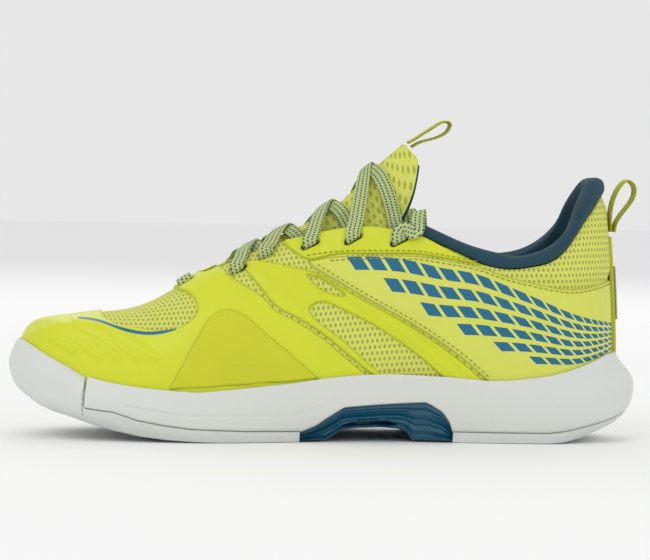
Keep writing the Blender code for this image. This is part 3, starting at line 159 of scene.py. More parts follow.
HEEL_LOOP = [(136.8, 98.6), (136.6, 104), (137.1, 110), (138.8, 116), (141.6, 120.9), (144.6, 123),
             (147.4, 121.2), (148.2, 117.2), (147, 113.8), (144.2, 109.8), (141.1, 105.6), (139.2, 101.8),
             (138.6, 98.5)]
TONGUE_LOOP = [(39.6, 139.3), (43, 141.3), (47, 144), (52, 147.2), (56.5, 149.4), (59.2, 148.7),
               (58.7, 146), (55.4, 143), (50, 141), (45, 139.5), (41.4, 137.4)]

# Outer wall of the sole at each station of the last: outset of its bottom, bevel and bulge from the last,
# and the heights of the bevel and the bulge.
WALL = np.array([
    (-21.0, -2.5, 3.6, 21.5, 33.0),
    (-14.0, -1.5, 4.0, 19.0, 31.0),
    (-7.0, 1.0, 4.5, 14.0, 26.0),
    (-2.5, 2.5, 5.2, 10.0, 19.5),
    (0.5, 4.0, 5.5, 7.0, 16.0),
    (1.5, 4.5, 5.5, 5.0, 14.5),
    (1.0, 3.5, 5.0, 4.5, 14.0),
    (-0.5, 2.0, 3.6, 5.0, 15.0),
    (-1.5, 1.0, 2.8, 9.0, 17.0),
    (-1.5, 0.8, 2.8, 6.0, 17.0),
    (-0.5, 1.5, 3.6, 5.0, 17.5),
    (0.0, 2.5, 4.8, 5.0, 18.0),
    (-3.0, 2.8, 5.8, 6.5, 20.0),
    (-10.0, 3.0, 8.6, 9.5, 24.0),
    (-19.0, 2.0, 10.6, 11.5, 27.5),
])
LATERAL_FLARE = 1.2
SPINE_ENDS = (45.0, 40.0)
BUMPER_END = (-111.0, -110.2)
CUP_START = (-109.6, -108.8)
SLAB_START = -120.0
BOARD_DROP = 2.1
REBATE_GAP = 0.4
FOREFOOT_END = -12.2
SHANK_ENDS = (-12.1, 59.1)
HEEL_START = 59.2



def natural_spline(keys, values):
    """The natural cubic spline through the values, or rows of values, at the keys, as a function."""
    k = np.asarray(keys, float)
    v = np.asarray(values, float)
    tail = (1,) * (v.ndim - 1)
    h = np.diff(k)
    slope = np.diff(v, axis=0) / h.reshape((-1, *tail))
    n = len(k)
    a = np.eye(n)
    r = np.zeros_like(v)
    i = np.arange(1, n - 1)
    a[i, i - 1] = h[:-1]
    a[i, i] = 2 * (h[:-1] + h[1:])
    a[i, i + 1] = h[1:]
    r[1:-1] = 6 * np.diff(slope, axis=0)
    m = np.linalg.solve(a, r.reshape(n, -1)).reshape(v.shape)

    def at(q):
        q = np.clip(q, k[0], k[-1])
        j = np.clip(np.searchsorted(k, q) - 1, 0, n - 2)
        w = h[j].reshape((*q.shape, *tail))
        p = (q - k[j]).reshape((*q.shape, *tail)) / w
        o = 1 - p
        return o * v[j] + p * v[j + 1] + ((o**3 - o) * m[j] + (p**3 - p) * m[j + 1]) * w * w / 6

    return at


def wrapped(own, other):
    """A station value as a spline that runs on round the toe and the heel into the other side's values."""
    reach = 3
    keys = np.arange(-reach, HEEL + reach + 1)
    return natural_spline(keys, np.concatenate([other[reach:0:-1], own, other[-2:-2 - reach:-1]]))


EDGE_Y = wrapped(LAST[:, 0], LAST[:, 0])
EDGE_X = {MEDIAL: wrapped(LAST[:, 1], LAST[:, 2]), LATERAL: wrapped(LAST[:, 2], LAST[:, 1])}
CREST_Y, CREST_X, CREST_Z, FLOOR_Z, SQUARE = [wrapped(LAST[:, i], LAST[:, i]) for i in range(3, 8)]


def last(t, th, side):
    """Point of the last: a superellipse quarter from the sole edge up to the crest."""
    n = SQUARE(t)
    c = np.abs(np.cos(th))
    s = np.sin(th)
    r = (c**n + np.abs(s)**n)**(-1 / n)
    out = r * np.cos(th)
    up = r * s
    x = CREST_X(t) + (EDGE_X[side](t) - CREST_X(t)) * out
    y = CREST_Y(t) + (EDGE_Y(t) - CREST_Y(t)) * out
    z = FLOOR_Z(t) + (CREST_Z(t) - FLOOR_Z(t)) * up
    return np.stack([x, y, z], -1)


def normal(t, th, side):
    """Unit normal of the last, pointing out of the foot."""
    e = 1e-3
    along = last(t + e, th, side) - last(t - e, th, side)
    low = np.maximum(th - e, 0)
    high = np.minimum(th + e, pi / 2)
    up = last(t, high, side) - last(t, low, side)
    n = np.cross(along, up) * side
    length = np.linalg.norm(n, axis=-1, keepdims=True)
    return np.where(length < 1e-9, np.array([0.0, 0.0, 1.0]), n / np.maximum(length, 1e-9))


def skin(t, th, side, offset):
    """Point of the last moved out along its normal. Both sides agree on the crest."""
    t, th, offset = np.broadcast_arrays(np.asarray(t, float), th, offset)
    own = normal(t, th, side)
    other = normal(t, th, -side)
    both = (own * np.sign(own[..., 2:] + 1e-9) + other * np.sign(other[..., 2:] + 1e-9)) * np.array([0, 1, 1])
    both = both / np.maximum(np.linalg.norm(both, axis=-1, keepdims=True), 1e-9)
    n = np.where((th > pi / 2 - 1e-6)[..., None], both, own)
    return last(t, th, side) + n * offset[..., None]


def side_angle(t, z):
    """Angle at which station t of the last reaches the pattern height z."""
    n = SQUARE(t)
    up = np.clip((z - FLOOR_Z(t)) / (CREST_Z(t) - FLOOR_Z(t)), 0, 1)
    out = (1 - up**n)**(1 / n)
    return np.arctan2(up, out)


def side_coords(points):
    """Station and angle of each (y, z) point of the side view, by bisection on the station."""
    y, z = np.asarray(points, float).T
    low = np.zeros_like(y)
    high = np.full_like(y, float(HEEL))
    for _ in range(40):
        t = (low + high) / 2
        th = side_angle(t, z)
        n = SQUARE(t)
        c = np.cos(th)
        out = c * (np.abs(c)**n + np.sin(th)**n)**(-1 / n)
        short = CREST_Y(t) + (EDGE_Y(t) - CREST_Y(t)) * out < y
        low = np.where(short, t, low)
        high = np.where(short, high, t)
    return np.stack([t, th], -1)


def station_at(y):
    """Station whose sole edge lies at the pattern position y."""
    t = np.linspace(0, HEEL, 1401)
    return np.interp(y, EDGE_Y(t), t)


def height(line, y):
    """Height of a side-view line at y."""
    points = np.asarray(line, float)
    return np.interp(y, points[:, 0], points[:, 1])


def resample(points, count):
    """count points evenly along the smooth curve through the given points."""
    p = np.asarray(points, float)
    chord = np.concatenate([[0], np.cumsum(np.linalg.norm(np.diff(p, axis=0), axis=1))])
    splines = [natural_spline(chord, p[:, i]) for i in range(p.shape[1])]
    fine = np.linspace(0, chord[-1], 40 * len(p))
    q = np.stack([f(fine) for f in splines], -1)
    run = np.concatenate([[0], np.cumsum(np.linalg.norm(np.diff(q, axis=0), axis=1))])
    at = np.linspace(0, run[-1], count)
    return np.stack([np.interp(at, run, q[:, i]) for i in range(p.shape[1])], -1)


TOP_EDGE = side_coords(np.vstack([resample(THROAT, 60), resample(COLLAR, 80)[1:]]))
THROAT_BASE = float(TOP_EDGE[0, 0])
COLLAR_PLACES = side_coords(resample(COLLAR, 120))
CROWN_PLACES = side_coords(resample(COLLAR_TOP, 120))


def top_angle(t):
    """Angle of the upper's top edge at station t: the crest in front of the throat."""
    return np.where(t <= THROAT_BASE, pi / 2, np.interp(t, TOP_EDGE[:, 0], TOP_EDGE[:, 1]))


def sole_angle(t, drop):
    """Angle of the line that runs the given distance below the sole's top edge."""
    return side_angle(t, height(SOLE_TOP, EDGE_Y(t)) - drop)


def plan_edge(t, side, outset):
    """Plan point of the sole edge, moved outwards in the plan from a spine down the middle."""
    edge = np.stack([EDGE_X[side](t), EDGE_Y(t)], -1)
    spine_y = np.clip(EDGE_Y(t), LAST[0, 0] + SPINE_ENDS[0], LAST[-1, 0] - SPINE_ENDS[1])
    spine = np.stack([CREST_X(t), spine_y], -1)
    outward = edge - spine
    outward = outward / np.linalg.norm(outward, axis=-1, keepdims=True)
    return edge + outward * np.asarray(outset, float)[..., None]


def eyelet_frames(side):
    """Place and axes of each lace slot: along the throat, across it and out of the upper."""
    frames = []
    for t, th in side_coords(EYELETS):
        place = skin(t, th, side, 0.0)
        out = normal(np.array(t), np.array(th), side)
        ahead = last(np.array(t + 0.05), np.array(th), side) - last(np.array(t - 0.05), np.array(th), side)
        ahead = ahead - out * (ahead @ out)
        ahead = ahead / np.linalg.norm(ahead)
        frames.append((place, ahead, np.cross(out, ahead), out))
    return frames


TONGUE_EDGE = [(5.0, 1.12), (5.5, 1.0), (6.2, 0.86), (7.0, 0.76), (7.7, 0.72), (8.08, 0.74), (8.16, 0.82),
               (8.28, 0.9), (8.44, 1.02), (8.54, 1.2)]
TONGUE_CENTRE = [4.9, 5.4, 6.0, 6.6, 7.2, 7.6, 7.85, 8.05, 8.22, 8.38]
TONGUE_STACKING = 0.8
THROAT_DIP = 1.3
TONGUE_EMERGES = (7.3, 7.9)


def tongue_offset(t, th):
    """Offset of the tongue's outer face: high between the throat's edges, and low under them."""
    across = np.clip((pi / 2 - th) / np.maximum(pi / 2 - top_angle(t), 0.02) / 0.8, 0, 1)
    inside = TONGUE_CREST + (TONGUE_UNDER - TONGUE_CREST) * across**2
    base = np.clip((THROAT_BASE + 1.0 - t) / 0.55, 0, 1)
    root = np.minimum(VAMP_LINING_OUT - LINING_THICKNESS - LAYER_GAP, TONGUE_UNDER) - THROAT_DIP
    inside = inside * (1 - base) + root * base
    out = np.clip((t - TONGUE_EMERGES[0]) / (TONGUE_EMERGES[1] - TONGUE_EMERGES[0]), 0, 1)
    free = TONGUE_UNDER * across**2
    return inside * (1 - out) + free * out


LACE_OVER = LACE_GAP + LACE_THICKNESS / 2
LACE_BELOW = UNDER_EDGE - LACE_OVER
LACE_ON_TONGUE = LACE_OVER + 0.8
LACE_STEP = 6.0
TAIL_STATION = 8.52


def contact_offset(t, th):
    """Offset of a lace that rests on the tongue, or that runs between the tongue and the lining's edge."""
    edge = np.maximum(top_angle(t - 0.3), top_angle(t)) + 0.05
    below = LACE_BELOW - THROAT_DIP * np.clip((THROAT_BASE + 0.4 - t) / 0.2, 0, 1)
    return np.minimum(tongue_offset(t, th) + LACE_ON_TONGUE, np.where(th <= edge, below, 9.0))


def route_points(keys, step):
    """Rows of (station, angle round both sides, offset) between the key rows, stepped by distance."""
    rows = [keys[0]]
    for a, b in zip(keys[:-1], keys[1:]):
        reach = np.linalg.norm(lace_place(*a) - lace_place(*b))
        count = max(1, int(np.ceil(reach / step)))
        rows += [a + (b - a) * k / count for k in range(1, count + 1)]
    return np.array(rows)


def lace_place(t, phi, offset):
    """Point of the route: phi runs from the medial sole edge over the crest to the lateral one."""
    medial = skin(t, np.minimum(phi, pi / 2), MEDIAL, offset)
    lateral = skin(t, np.minimum(pi - np.asarray(phi), pi / 2), LATERAL, offset)
    return np.where((np.asarray(phi) <= pi / 2)[..., None], medial, lateral)


def strand(start, end, side, over, from_below):
    """Key rows of one crossing from an eyelet on one side to the next eyelet on the other side."""
    rows = []
    phi_a = start[1] if side == MEDIAL else pi - start[1]
    phi_b = pi - end[1] if side == MEDIAL else end[1]
    shares = np.linspace(0.1, 0.92, 13)
    for k in shares:
        t = start[0] + (end[0] - start[0]) * k
        phi = phi_a + (phi_b - phi_a) * k
        th = min(phi, pi - phi)
        base = float(contact_offset(t, np.array(th)))
        crest = float(tongue_offset(t, np.array(pi / 2))) + LACE_ON_TONGUE + over
        across = float(np.clip((pi / 2 - th) / max(pi / 2 - float(top_angle(t)), 0.02), 0, 1))
        leaving = (phi < pi / 2) == (side == MEDIAL)
        if leaving and not from_below:
            offset = crest + (LACE_OVER - crest) * min(1.0, across * 1.1)
        else:
            offset = base + over * max(0.0, 1 - across / 0.7)
        rows.append((t, phi, offset))
    return rows


def half_lace(side):
    """Key rows of half the lace, from the middle of the front bar to its tucked-in end."""
    eyelets = side_coords(EYELETS)
    turn = 0.05

    def phi_of(th, s):
        return th if s == MEDIAL else pi - th

    t, th = eyelets[0]
    rows = [(t, pi / 2, LACE_OVER), (t, phi_of((pi / 2 + th) / 2, side), LACE_OVER),
            (t, phi_of(th + turn, side), LACE_OVER + 0.1)]
    bend = [(0.5, LACE_OVER + 0.3), (0.12, 0.8), (0.0, -0.4), (0.0, LACE_BELOW + 1.3),
            (0.12, LACE_BELOW + 0.1), (0.5, LACE_BELOW - 0.15)]
    rows += [(t, phi_of(th + turn * k, side), offset) for k, offset in bend]
    for k in range(1, len(eyelets)):
        start = eyelets[k - 1]
        end = eyelets[k]
        lift = LACE_THICKNESS + 0.25 if side == MEDIAL else 0.0
        rows += strand(start, end, side, lift, k == 1)
        side = -side
        t, th = end
        rows += [(t, phi_of(th + turn * k, side), offset) for k, offset in bend[::-1]]
    top = float(np.interp(TAIL_STATION, *CROWN_PLACES.T))
    inside = COLLAR_LINING_OUT - LINING_THICKNESS - LACE_OVER - 0.4
    tail = [(t + 0.06, th + 0.05, 2.0), (TAIL_STATION - 0.06, top - 0.05, 2.4),
            (TAIL_STATION, top + 0.05, 0.6), (TAIL_STATION, top + 0.055, -4.8),
            (TAIL_STATION, top - 0.02, inside - 0.7), (TAIL_STATION, top - 0.12, inside - 1.1),
            (TAIL_STATION, top - 0.3, inside - 1.4)]
    rows += [(a, phi_of(b, side), c) for a, b, c in tail]
    return np.array(rows)


def lace_route():
    """Rows along the whole lace, from its medial end to its lateral end."""
    one = route_points(half_lace(LATERAL), LACE_STEP)
    other = route_points(half_lace(MEDIAL), LACE_STEP)
    return np.concatenate([one[::-1], other[1:]])


def surface_normals(rows):
    """Outward normals of the last under each row of the route."""
    medial = normal(rows[:, 0], np.minimum(rows[:, 1], pi / 2 - 0.01), MEDIAL)
    lateral = normal(rows[:, 0], np.minimum(pi - rows[:, 1], pi / 2 - 0.01), LATERAL)
    return np.where((rows[:, 1] <= pi / 2)[:, None], medial, lateral)


def lace_frames(rows):
    """Centre, run, width direction and face direction at each row of the route, without sudden turns."""
    t, phi, offset = rows.T
    centre = lace_place(t, phi, offset)
    ahead = lace_place(t + 0.03, phi, offset) - lace_place(t - 0.03, phi, offset)
    ahead = ahead / np.linalg.norm(ahead, axis=1, keepdims=True)
    run = np.gradient(centre, axis=0)
    run = run / np.linalg.norm(run, axis=1, keepdims=True)
    lengthwise = ahead - run * (ahead * run).sum(1)[:, None]
    flat = np.cross(surface_normals(rows), run)
    width = []
    before = flat[0]
    for a, b in zip(lengthwise, flat):
        w = a * np.sign(a @ before + 1e-9) + b * np.sign(b @ before + 1e-9)
        before = w / np.linalg.norm(w)
        width.append(before)
    width = np.array(width)
    return centre, run, width, np.cross(run, width)


# Lines of the films, as (y, z) in the side view.
TOE_RIBS = [
    [(-115.7, 53.7), (-101.1, 51), (-92.4, 46.7), (-79.2, 38.4)],
    [(-122.8, 52.6), (-109.9, 50.9), (-99.4, 46.6), (-87.8, 38.7)],
    [(-126.3, 51.8), (-115.7, 49.2), (-105.3, 44.8), (-96.6, 38.5)],
    [(-131.6, 50.2), (-120.4, 47.7), (-111.1, 43), (-105.3, 38.7)],
    [(-135.6, 48.4), (-127.4, 46.1), (-120.4, 43.3), (-115.7, 40.8)],
]
ACCENT = [(-114.1, 54.8), (-106, 54.2), (-99.1, 52.2), (-91.2, 50.2), (-83.4, 49.3), (-75.4, 50.2),
          (-70.4, 51.8)]
CAGE_RIDGES = [
    [(-10.5, 80), (5.3, 73), (28.9, 60), (52.6, 44), (68.4, 29.5)],
    [(-9, 65), (-4, 69), (3.7, 69.6), (12, 65), (25.8, 56.8), (44.7, 43.5), (63.6, 29)],
    [(-36, 79), (-24, 73), (-12, 63), (4, 52), (16, 42), (29, 29)],
]
PILL_ENDS = (-48.5, -27.5)
PILL_HEIGHT = 33.4
PILL_HALF = 2.3
PRINT_TOP = [(0, 86.4), (38.4, 85.8), (54.2, 82.3), (68.4, 80), (79.4, 76), (98.4, 68.1), (115.7, 61),
             (131.5, 57.1), (142, 55.2)]
PRINT_LOW = [(0, 29), (38, 30), (68.4, 33), (92, 36), (106, 36.1), (115.7, 36.3), (128.3, 39.4), (142, 45)]
PRINT_ROWS = 6
STITCH_HALVES = (0.95, 0.28, 0.28)
PRINT_PITCH = [(0, 8.5), (85, 8.5), (110, 6.5), (128, 3.4), (142, 2.2)]
SHANK_SLIT = [(7, 7.5), (15.3, 9.8), (28.2, 10), (33.8, 7.8), (20, 8.2)]
SLIT_DEPTH = 5
SHANK_FLUTES = 5
# Lights as name, place in metres, power in watts and side in metres.
LIGHTS = (
    ("key", (1.5, -0.9, 1.6), 7, 1.2),
    ("fill", (1.4, 1.3, 0.9), 2.5, 1.4),
    ("back", (-1.5, 0.2, 1.3), 5, 1.4),
)
# Camera: degrees round the shoe, above the ground and of roll, then metres.
CAMERA_AZIMUTH = 85.4
CAMERA_LIFT = 2
CAMERA_ROLL = 0.96
CAMERA_DISTANCE = 1.4
CAMERA_TARGET = (0.0033, -0.0002, 0.0737)
CAMERA_LENS = 163.9
# Stations from one column of a film's grid to the next.
FILM_STEP = 0.04
# Half length of a lace slot, and its half width.
SLOT_REACH = 3.2
SLOT_HALF = 1.5
FILM_TUCK = 4
FILM_CUT = -1.2


class ShoeSizes(bpy.types.PropertyGroup):
    """Sizes of the small shapes that finish the shoe."""

    rib_height: FloatProperty(name="Rib height", description="Height of the ribs over the toe",
                              default=0.0011, unit="LENGTH")
    film_edge: FloatProperty(name="Film edge", description="Width over which a film's edge rounds down",
                             default=0.0011, unit="LENGTH")
    stitch_pitch: FloatProperty(name="Stitch pitch", description="Distance from one stitch to the next",
                                default=0.0026, unit="LENGTH")
    tread_depth: FloatProperty(name="Tread depth", description="Depth of the grooves under the sole",
                               default=0.0014, unit="LENGTH")
    flute_depth: FloatProperty(name="Flute depth", description="Depth of the flutes along the shank",
                               default=0.0006, unit="LENGTH")


def colour_property(name, description, default):
    """A colour that the sidebar shows as a swatch."""
    return FloatVectorProperty(name=name, description=description, default=default, size=3, min=0, max=1,
                               subtype="COLOR")


class ShoeColours(bpy.types.PropertyGroup):
    """Base colours of the finishes."""

    lime: colour_property("Lime", "Films over the toe and cage", (0.66, 0.72, 0.012))
    pale: colour_property("Pale lime", "Quarter film", (0.68, 0.72, 0.10))
    deep: colour_property("Deep lime", "Guards and trims", (0.61, 0.63, 0.004))
    knit: colour_property("Knit", "Knit under the films", (0.70, 0.74, 0.13))
    teal: colour_property("Teal", "Collar and tongue lining", (0.0008, 0.048, 0.088))
    print: colour_property("Print blue", "Dashes, accent and flecks", (0.0, 0.135, 0.26))
    sole: colour_property("Sole", "Midsole and outsole", (0.70, 0.72, 0.68))


# ---- meshes ----

def quads(columns, rows):
    """Corner numbers of every cell of a grid that is stored column by column."""
    a = (np.arange(columns - 1)[:, None] * rows + np.arange(rows - 1)[None]).ravel()
    return np.stack([a, a + rows, a + rows + 1, a + 1], 1)


def put(name, points, faces, body, slot, finish, uv=None, values=None, stands_for=(), smooth=True):
    """Mesh object from points in millimetres. Loose points go, and points that coincide are joined."""
    points = np.asarray(points, float).reshape(-1, 3)
    used, renumbered = np.unique(np.concatenate([np.ravel(f) for f in faces]), return_inverse=True)
    sizes = [len(f) for f in faces]
    ends = np.cumsum(sizes)
    corners = [part.tolist() for part in np.split(renumbered, ends[:-1])]
    mesh = bpy.data.meshes.new(name)
    mesh.from_pydata(((points[used] + CENTRE_SHIFT) * MM).tolist(), [], corners)
    for key, value in (values or {}).items():
        layer = mesh.attributes.new(key, "FLOAT", "POINT")
        layer.data.foreach_set("value", np.asarray(value, np.float32).ravel()[used])
    if uv is not None:
        layer = mesh.uv_layers.new(name="UVMap")
        flat = np.asarray(uv, np.float32).reshape(-1, 2)[used]
        layer.data.foreach_set("uv", flat[renumbered].ravel())
    work = bmesh.new()
    work.from_mesh(mesh)
    bmesh.ops.remove_doubles(work, verts=work.verts, dist=0.02 * MM)
    bmesh.ops.dissolve_degenerate(work, edges=work.edges, dist=0.005 * MM)
    work.to_mesh(mesh)
    work.free()
    mesh.polygons.foreach_set("use_smooth", np.full(len(mesh.polygons), smooth))
    mesh.materials.append(FINISHES[finish]())
    obj = bpy.data.objects.new(name, mesh)
    bpy.context.scene.collection.objects.link(obj)
    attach(obj, body)
    if stands_for:
        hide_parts(*stands_for)
    return obj


def face_out(obj, angle):
    """Recalculates the normals of a closed mesh and marks its edges sharper than the angle."""
    work = bmesh.new()
    work.from_mesh(obj.data)
    bmesh.ops.recalc_face_normals(work, faces=work.faces)
    work.to_mesh(obj.data)
    work.free()
    obj.data.set_sharp_from_angle(angle=radians(angle))


def walls(obj, thickness):
    """Gives an open surface its thickness, inwards."""
    solid = obj.modifiers.new("thickness", "SOLIDIFY")
    solid.thickness = thickness * MM
    solid.offset = -1
    solid.use_even_offset = False


def turned(grid, faces, outward):
    """The faces, flipped where the grid's cells point against the outward directions."""
    cell = np.cross(grid[1:, :-1] - grid[:-1, :-1], grid[:-1, 1:] - grid[:-1, :-1])
    return faces[:, ::-1] if (cell * outward[:-1, :-1]).sum() < 0 else faces


def arc_uv(grid):
    """Distances along the middle row, and up each column, in millimetres."""
    u = run_of(grid[:, grid.shape[1] // 2])
    v = np.cumsum(np.linalg.norm(np.diff(grid, axis=1), axis=2), axis=1)
    v = np.concatenate([np.zeros((len(grid), 1)), v], 1)
    return np.stack([np.broadcast_to(u[:, None], v.shape), v], -1)


def unit(vectors):
    """Vectors divided by their own lengths."""
    return vectors / np.linalg.norm(vectors, axis=-1, keepdims=True)


def run_of(points):
    """Distance along a line of points, from its first one."""
    return np.concatenate([[0], np.cumsum(np.linalg.norm(np.diff(points, axis=0), axis=1))])


def rounded(shares):
    """Height of a quarter circle over shares of its radius: 0 at 0, and 1 from 1 on."""
    return np.sqrt(np.clip(1 - (1 - np.clip(shares, 0, 1))**2, 0, 1))


def flattened(turn, power):
    """Cosine of the turn with its size raised to a power, which squares off an oval."""
    return np.sign(np.cos(turn)) * np.abs(np.cos(turn))**power


def soft_step(x):
    """Smooth rise 3x^2 - 2x^3 from 0 at 0 to 1 at 1."""
    x = np.clip(x, 0, 1)
    return x * x * (3 - 2 * x)


def distance(points, line):
    """Distance of each point to a line of points, as the least over its straight pieces."""
    flat = points.reshape(-1, 1, 2)
    a = np.asarray(line, float)[None, :-1]
    run = np.asarray(line, float)[None, 1:] - a
    share = np.clip(((flat - a) * run).sum(-1) / np.maximum((run * run).sum(-1), 1e-12), 0, 1)
    gap = np.linalg.norm(flat - a - run * share[..., None], axis=-1).min(1)
    return gap.reshape(points.shape[:-1])


def signed(points, ring):
    """Distance to a closed outline, positive inside it by the even-odd rule."""
    closed = np.vstack([ring, ring[:1]])
    y, z = points.reshape(-1, 2).T[..., None]
    a, b = closed[None, :-1], closed[None, 1:]
    level = (a[..., 1] > z) != (b[..., 1] > z)
    rise = np.where(np.abs(b[..., 1] - a[..., 1]) < 1e-12, 1e-12, b[..., 1] - a[..., 1])
    cross = a[..., 0] + (z - a[..., 1]) * (b[..., 0] - a[..., 0]) / rise
    inside = ((level & (y < cross)).sum(1) % 2 == 1).reshape(points.shape[:-1])
    return distance(points, closed) * np.where(inside, 1, -1)


def ring_of(*lines):
    """Closed outline through smooth lines, taken one after another."""
    return np.vstack([resample(line, 70) if len(line) > 2 else np.asarray(line, float) for line in lines])


def slot_fields(points, side):
    """Distance to the nearest lace slot, negative inside it. A slot is a short thick line."""
    gap = np.full(points.shape[:-1], 50.0)
    for place, ahead, across, _ in eyelet_frames(side):
        along = np.abs((points - place) @ ahead)
        aside = np.abs((points - place) @ across)
        gap = np.minimum(gap, np.hypot(np.maximum(along - SLOT_REACH, 0), aside) - SLOT_HALF)
    return gap


def film_half(side, stations, rows, ring, windows, level, ridges):
    """One side of a film: it stands at its level and rounds down into the knit at its outline and windows."""
    sizes = bpy.context.scene.shoe_sizes
    low = sole_angle(stations, FILM_TUCK)
    top = top_angle(stations)
    share = np.linspace(0, 1, rows)[None]
    th = low[:, None] * (1 - share) + top[:, None] * share
    t = np.broadcast_to(stations[:, None], th.shape)
    rest = last(t, th, side)
    flat = rest[..., 1:]
    edge = signed(flat, ring)
    for window in windows:
        edge = np.minimum(edge, -signed(flat, window))
    slot = slot_fields(rest, side)
    offset = FILM_ROOT + (level - FILM_ROOT) * soft_step(edge / (sizes.film_edge / MM) + 0.5)
    offset = offset - 1.3 * (1 - soft_step(slot / 0.9 + 0.5)) * (edge > 0)
    offset = offset + 0.35 * np.exp(-((slot - 1.2) / 0.5)**2)
    for line, height_of, width in ridges:
        offset = offset + height_of * np.exp(-(distance(flat, resample(line, 60)) / width)**2)
    grid = skin(t, th, side, offset)
    return grid, normal(t, th, side), edge, slot, flat


def film(name, sides, span, rows, ring, windows, level, ridges, slot, finish, stands_for, extra=None):
    """A film on one side, or on both sides and joined round the toe."""
    stations = np.append(np.arange(span[0], span[1], FILM_STEP), span[1])
    halves = [film_half(side, stations, rows, ring, windows, level, ridges) for side in sides]
    if len(halves) == 2:
        halves = [tuple(np.concatenate([b[::-1], a]) for a, b in zip(*halves))]
    grid, out, edge, gap, flat = halves[0]
    highest = np.maximum.reduce([edge[1:, 1:], edge[1:, :-1], edge[:-1, 1:], edge[:-1, :-1]])
    faces = turned(grid, quads(*grid.shape[:2]), out)[highest.ravel() > FILM_CUT]
    values = {"edge": edge, "slot_gap": gap}
    for key, make in (extra or {}).items():
        values[key] = make(flat)
    obj = put(name, grid, faces, "shoe", slot, finish, arc_uv(grid), values, stands_for)
    walls(obj, FILM_THICKNESS)
    return obj


def print_row(flat):
    """Rows of the print counted down from its top line, as a share of the height between its two lines."""
    top, low = [height(resample(line, 99), flat[..., 0]) for line in (PRINT_TOP, PRINT_LOW)]
    return (top - flat[..., 1]) / (top - low) * PRINT_ROWS


def print_run(flat):
    """Dashes counted from the front, as the sum of 1 / pitch along Y."""
    y = np.linspace(0, PRINT_PITCH[-1][0], 300)
    count = np.cumsum(1 / height(PRINT_PITCH, y)) * (y[1] - y[0]) + 0.2
    return np.interp(flat[..., 0], y, count)


def around(name, stations, th, offset, thickness, slot, finish, stands_for, values=None):
    """Surface over both sides, joined at the heel or, where it stops short of the heel, at the toe."""
    t = np.broadcast_to(stations[:, None], th.shape)
    at_heel = stations[-1] > HEEL - 1e-6

    def joined(medial, lateral):
        return np.concatenate([medial, lateral[::-1]] if at_heel else [lateral[::-1], medial])

    depths = [offset(side) if callable(offset) else offset for side in (MEDIAL, LATERAL)]
    medial, lateral = [np.broadcast_to(np.asarray(depth, float), th.shape) for depth in depths]
    grid = joined(skin(t, th, MEDIAL, medial), skin(t, th, LATERAL, lateral))
    out = joined(normal(t, th, MEDIAL), normal(t, th, LATERAL))
    faces = turned(grid, quads(*grid.shape[:2]), out)
    made = {key: joined(make(MEDIAL), make(LATERAL)) for key, make in (values or {}).items()}
    obj = put(name, grid, faces, "shoe", slot, finish, arc_uv(grid), made, stands_for)
    walls(obj, thickness)
    return obj


def loft(name, rings, body, slot, finish, stands_for, sharp=40):
    """Closed solid through closed rings of points, capped where an end ring is open."""
    count, around_count = rings.shape[:2]
    i = np.arange(count - 1)[:, None] * around_count
    j = np.arange(around_count)[None]
    k = (j + 1) % around_count
    faces = list(np.stack([i + j, i + k, i + around_count + k, i + around_count + j], -1).reshape(-1, 4))
    for end in (0, count - 1):
        if np.ptp(rings[end][:, 0]) > 0.5:
            faces.append(np.arange(end * around_count, (end + 1) * around_count))
    girth = run_of(rings[count // 2])
    uv = np.stack(np.broadcast_arrays(run_of(rings.mean(1))[:, None], girth[None]), -1)
    obj = put(name, rings, faces, body, slot, finish, uv, None, stands_for)
    face_out(obj, sharp)
    return obj


# ---- finishes ----

class Graph:
    """Short calls that add shader nodes to one tree."""

    def __init__(self, tree):
        self.tree = tree

    def add(self, kind, inputs=None, **settings):
        node = self.tree.nodes.new(kind)
        for key, value in settings.items():
            setattr(node, key, value)
        for key, value in (inputs or {}).items():
            if isinstance(value, bpy.types.NodeSocket):
                self.tree.links.new(value, node.inputs[key])
            else:
                node.inputs[key].default_value = value
        return node

    def math(self, operation, a, b=0.0):
        return self.add("ShaderNodeMath", {0: a, 1: b}, operation=operation).outputs[0]

    def band(self, value, low, high):
        """0 below low and 1 above high, with a smooth rise between them."""
        return self.add("ShaderNodeMapRange", {"Value": value, "From Min": low, "From Max": high},
                        interpolation_type="SMOOTHSTEP").outputs[0]

    def mix(self, share, a, b):
        return self.add("ShaderNodeMix", {0: share, 6: a, 7: b}, data_type="RGBA").outputs[2]

    def attribute(self, name):
        return self.add("ShaderNodeAttribute", attribute_name=name).outputs["Fac"]


def group(name, inputs, outputs, make):
    """Node group with the named sockets, built once."""
    if name in bpy.data.node_groups:
        return bpy.data.node_groups[name]
    tree = bpy.data.node_groups.new(name, "ShaderNodeTree")
    for key, (kind, value) in inputs.items():
        socket = tree.interface.new_socket(key, in_out="INPUT", socket_type="NodeSocket" + kind)
        if value is not None:
            socket.default_value = value
    for key, kind in outputs.items():
        tree.interface.new_socket(key, in_out="OUTPUT", socket_type="NodeSocket" + kind)
    g = Graph(tree)
    made = make(g, g.add("NodeGroupInput").outputs)
    g.add("NodeGroupOutput", made)
    return tree


def grain_group():
    """Fine noise plus half of a cell pattern, for leathery and moulded skins."""
    def make(g, given):
        where = {"Vector": given["Place"], "Scale": given["Scale"]}
        fine = g.add("ShaderNodeTexNoise", {**where, "Detail": 3.0})
        cells = g.add("ShaderNodeTexVoronoi", where)
        high = g.math("ADD", fine.outputs[0], g.math("MULTIPLY", cells.outputs[0], 0.5))
        return {"Height": high, "Tone": g.band(fine.outputs[0], 0.3, 0.7)}
    return group("Grain", {"Place": ("Vector", None), "Scale": ("Float", 900.0)},
                 {"Height": "Float", "Tone": "Float"}, make)


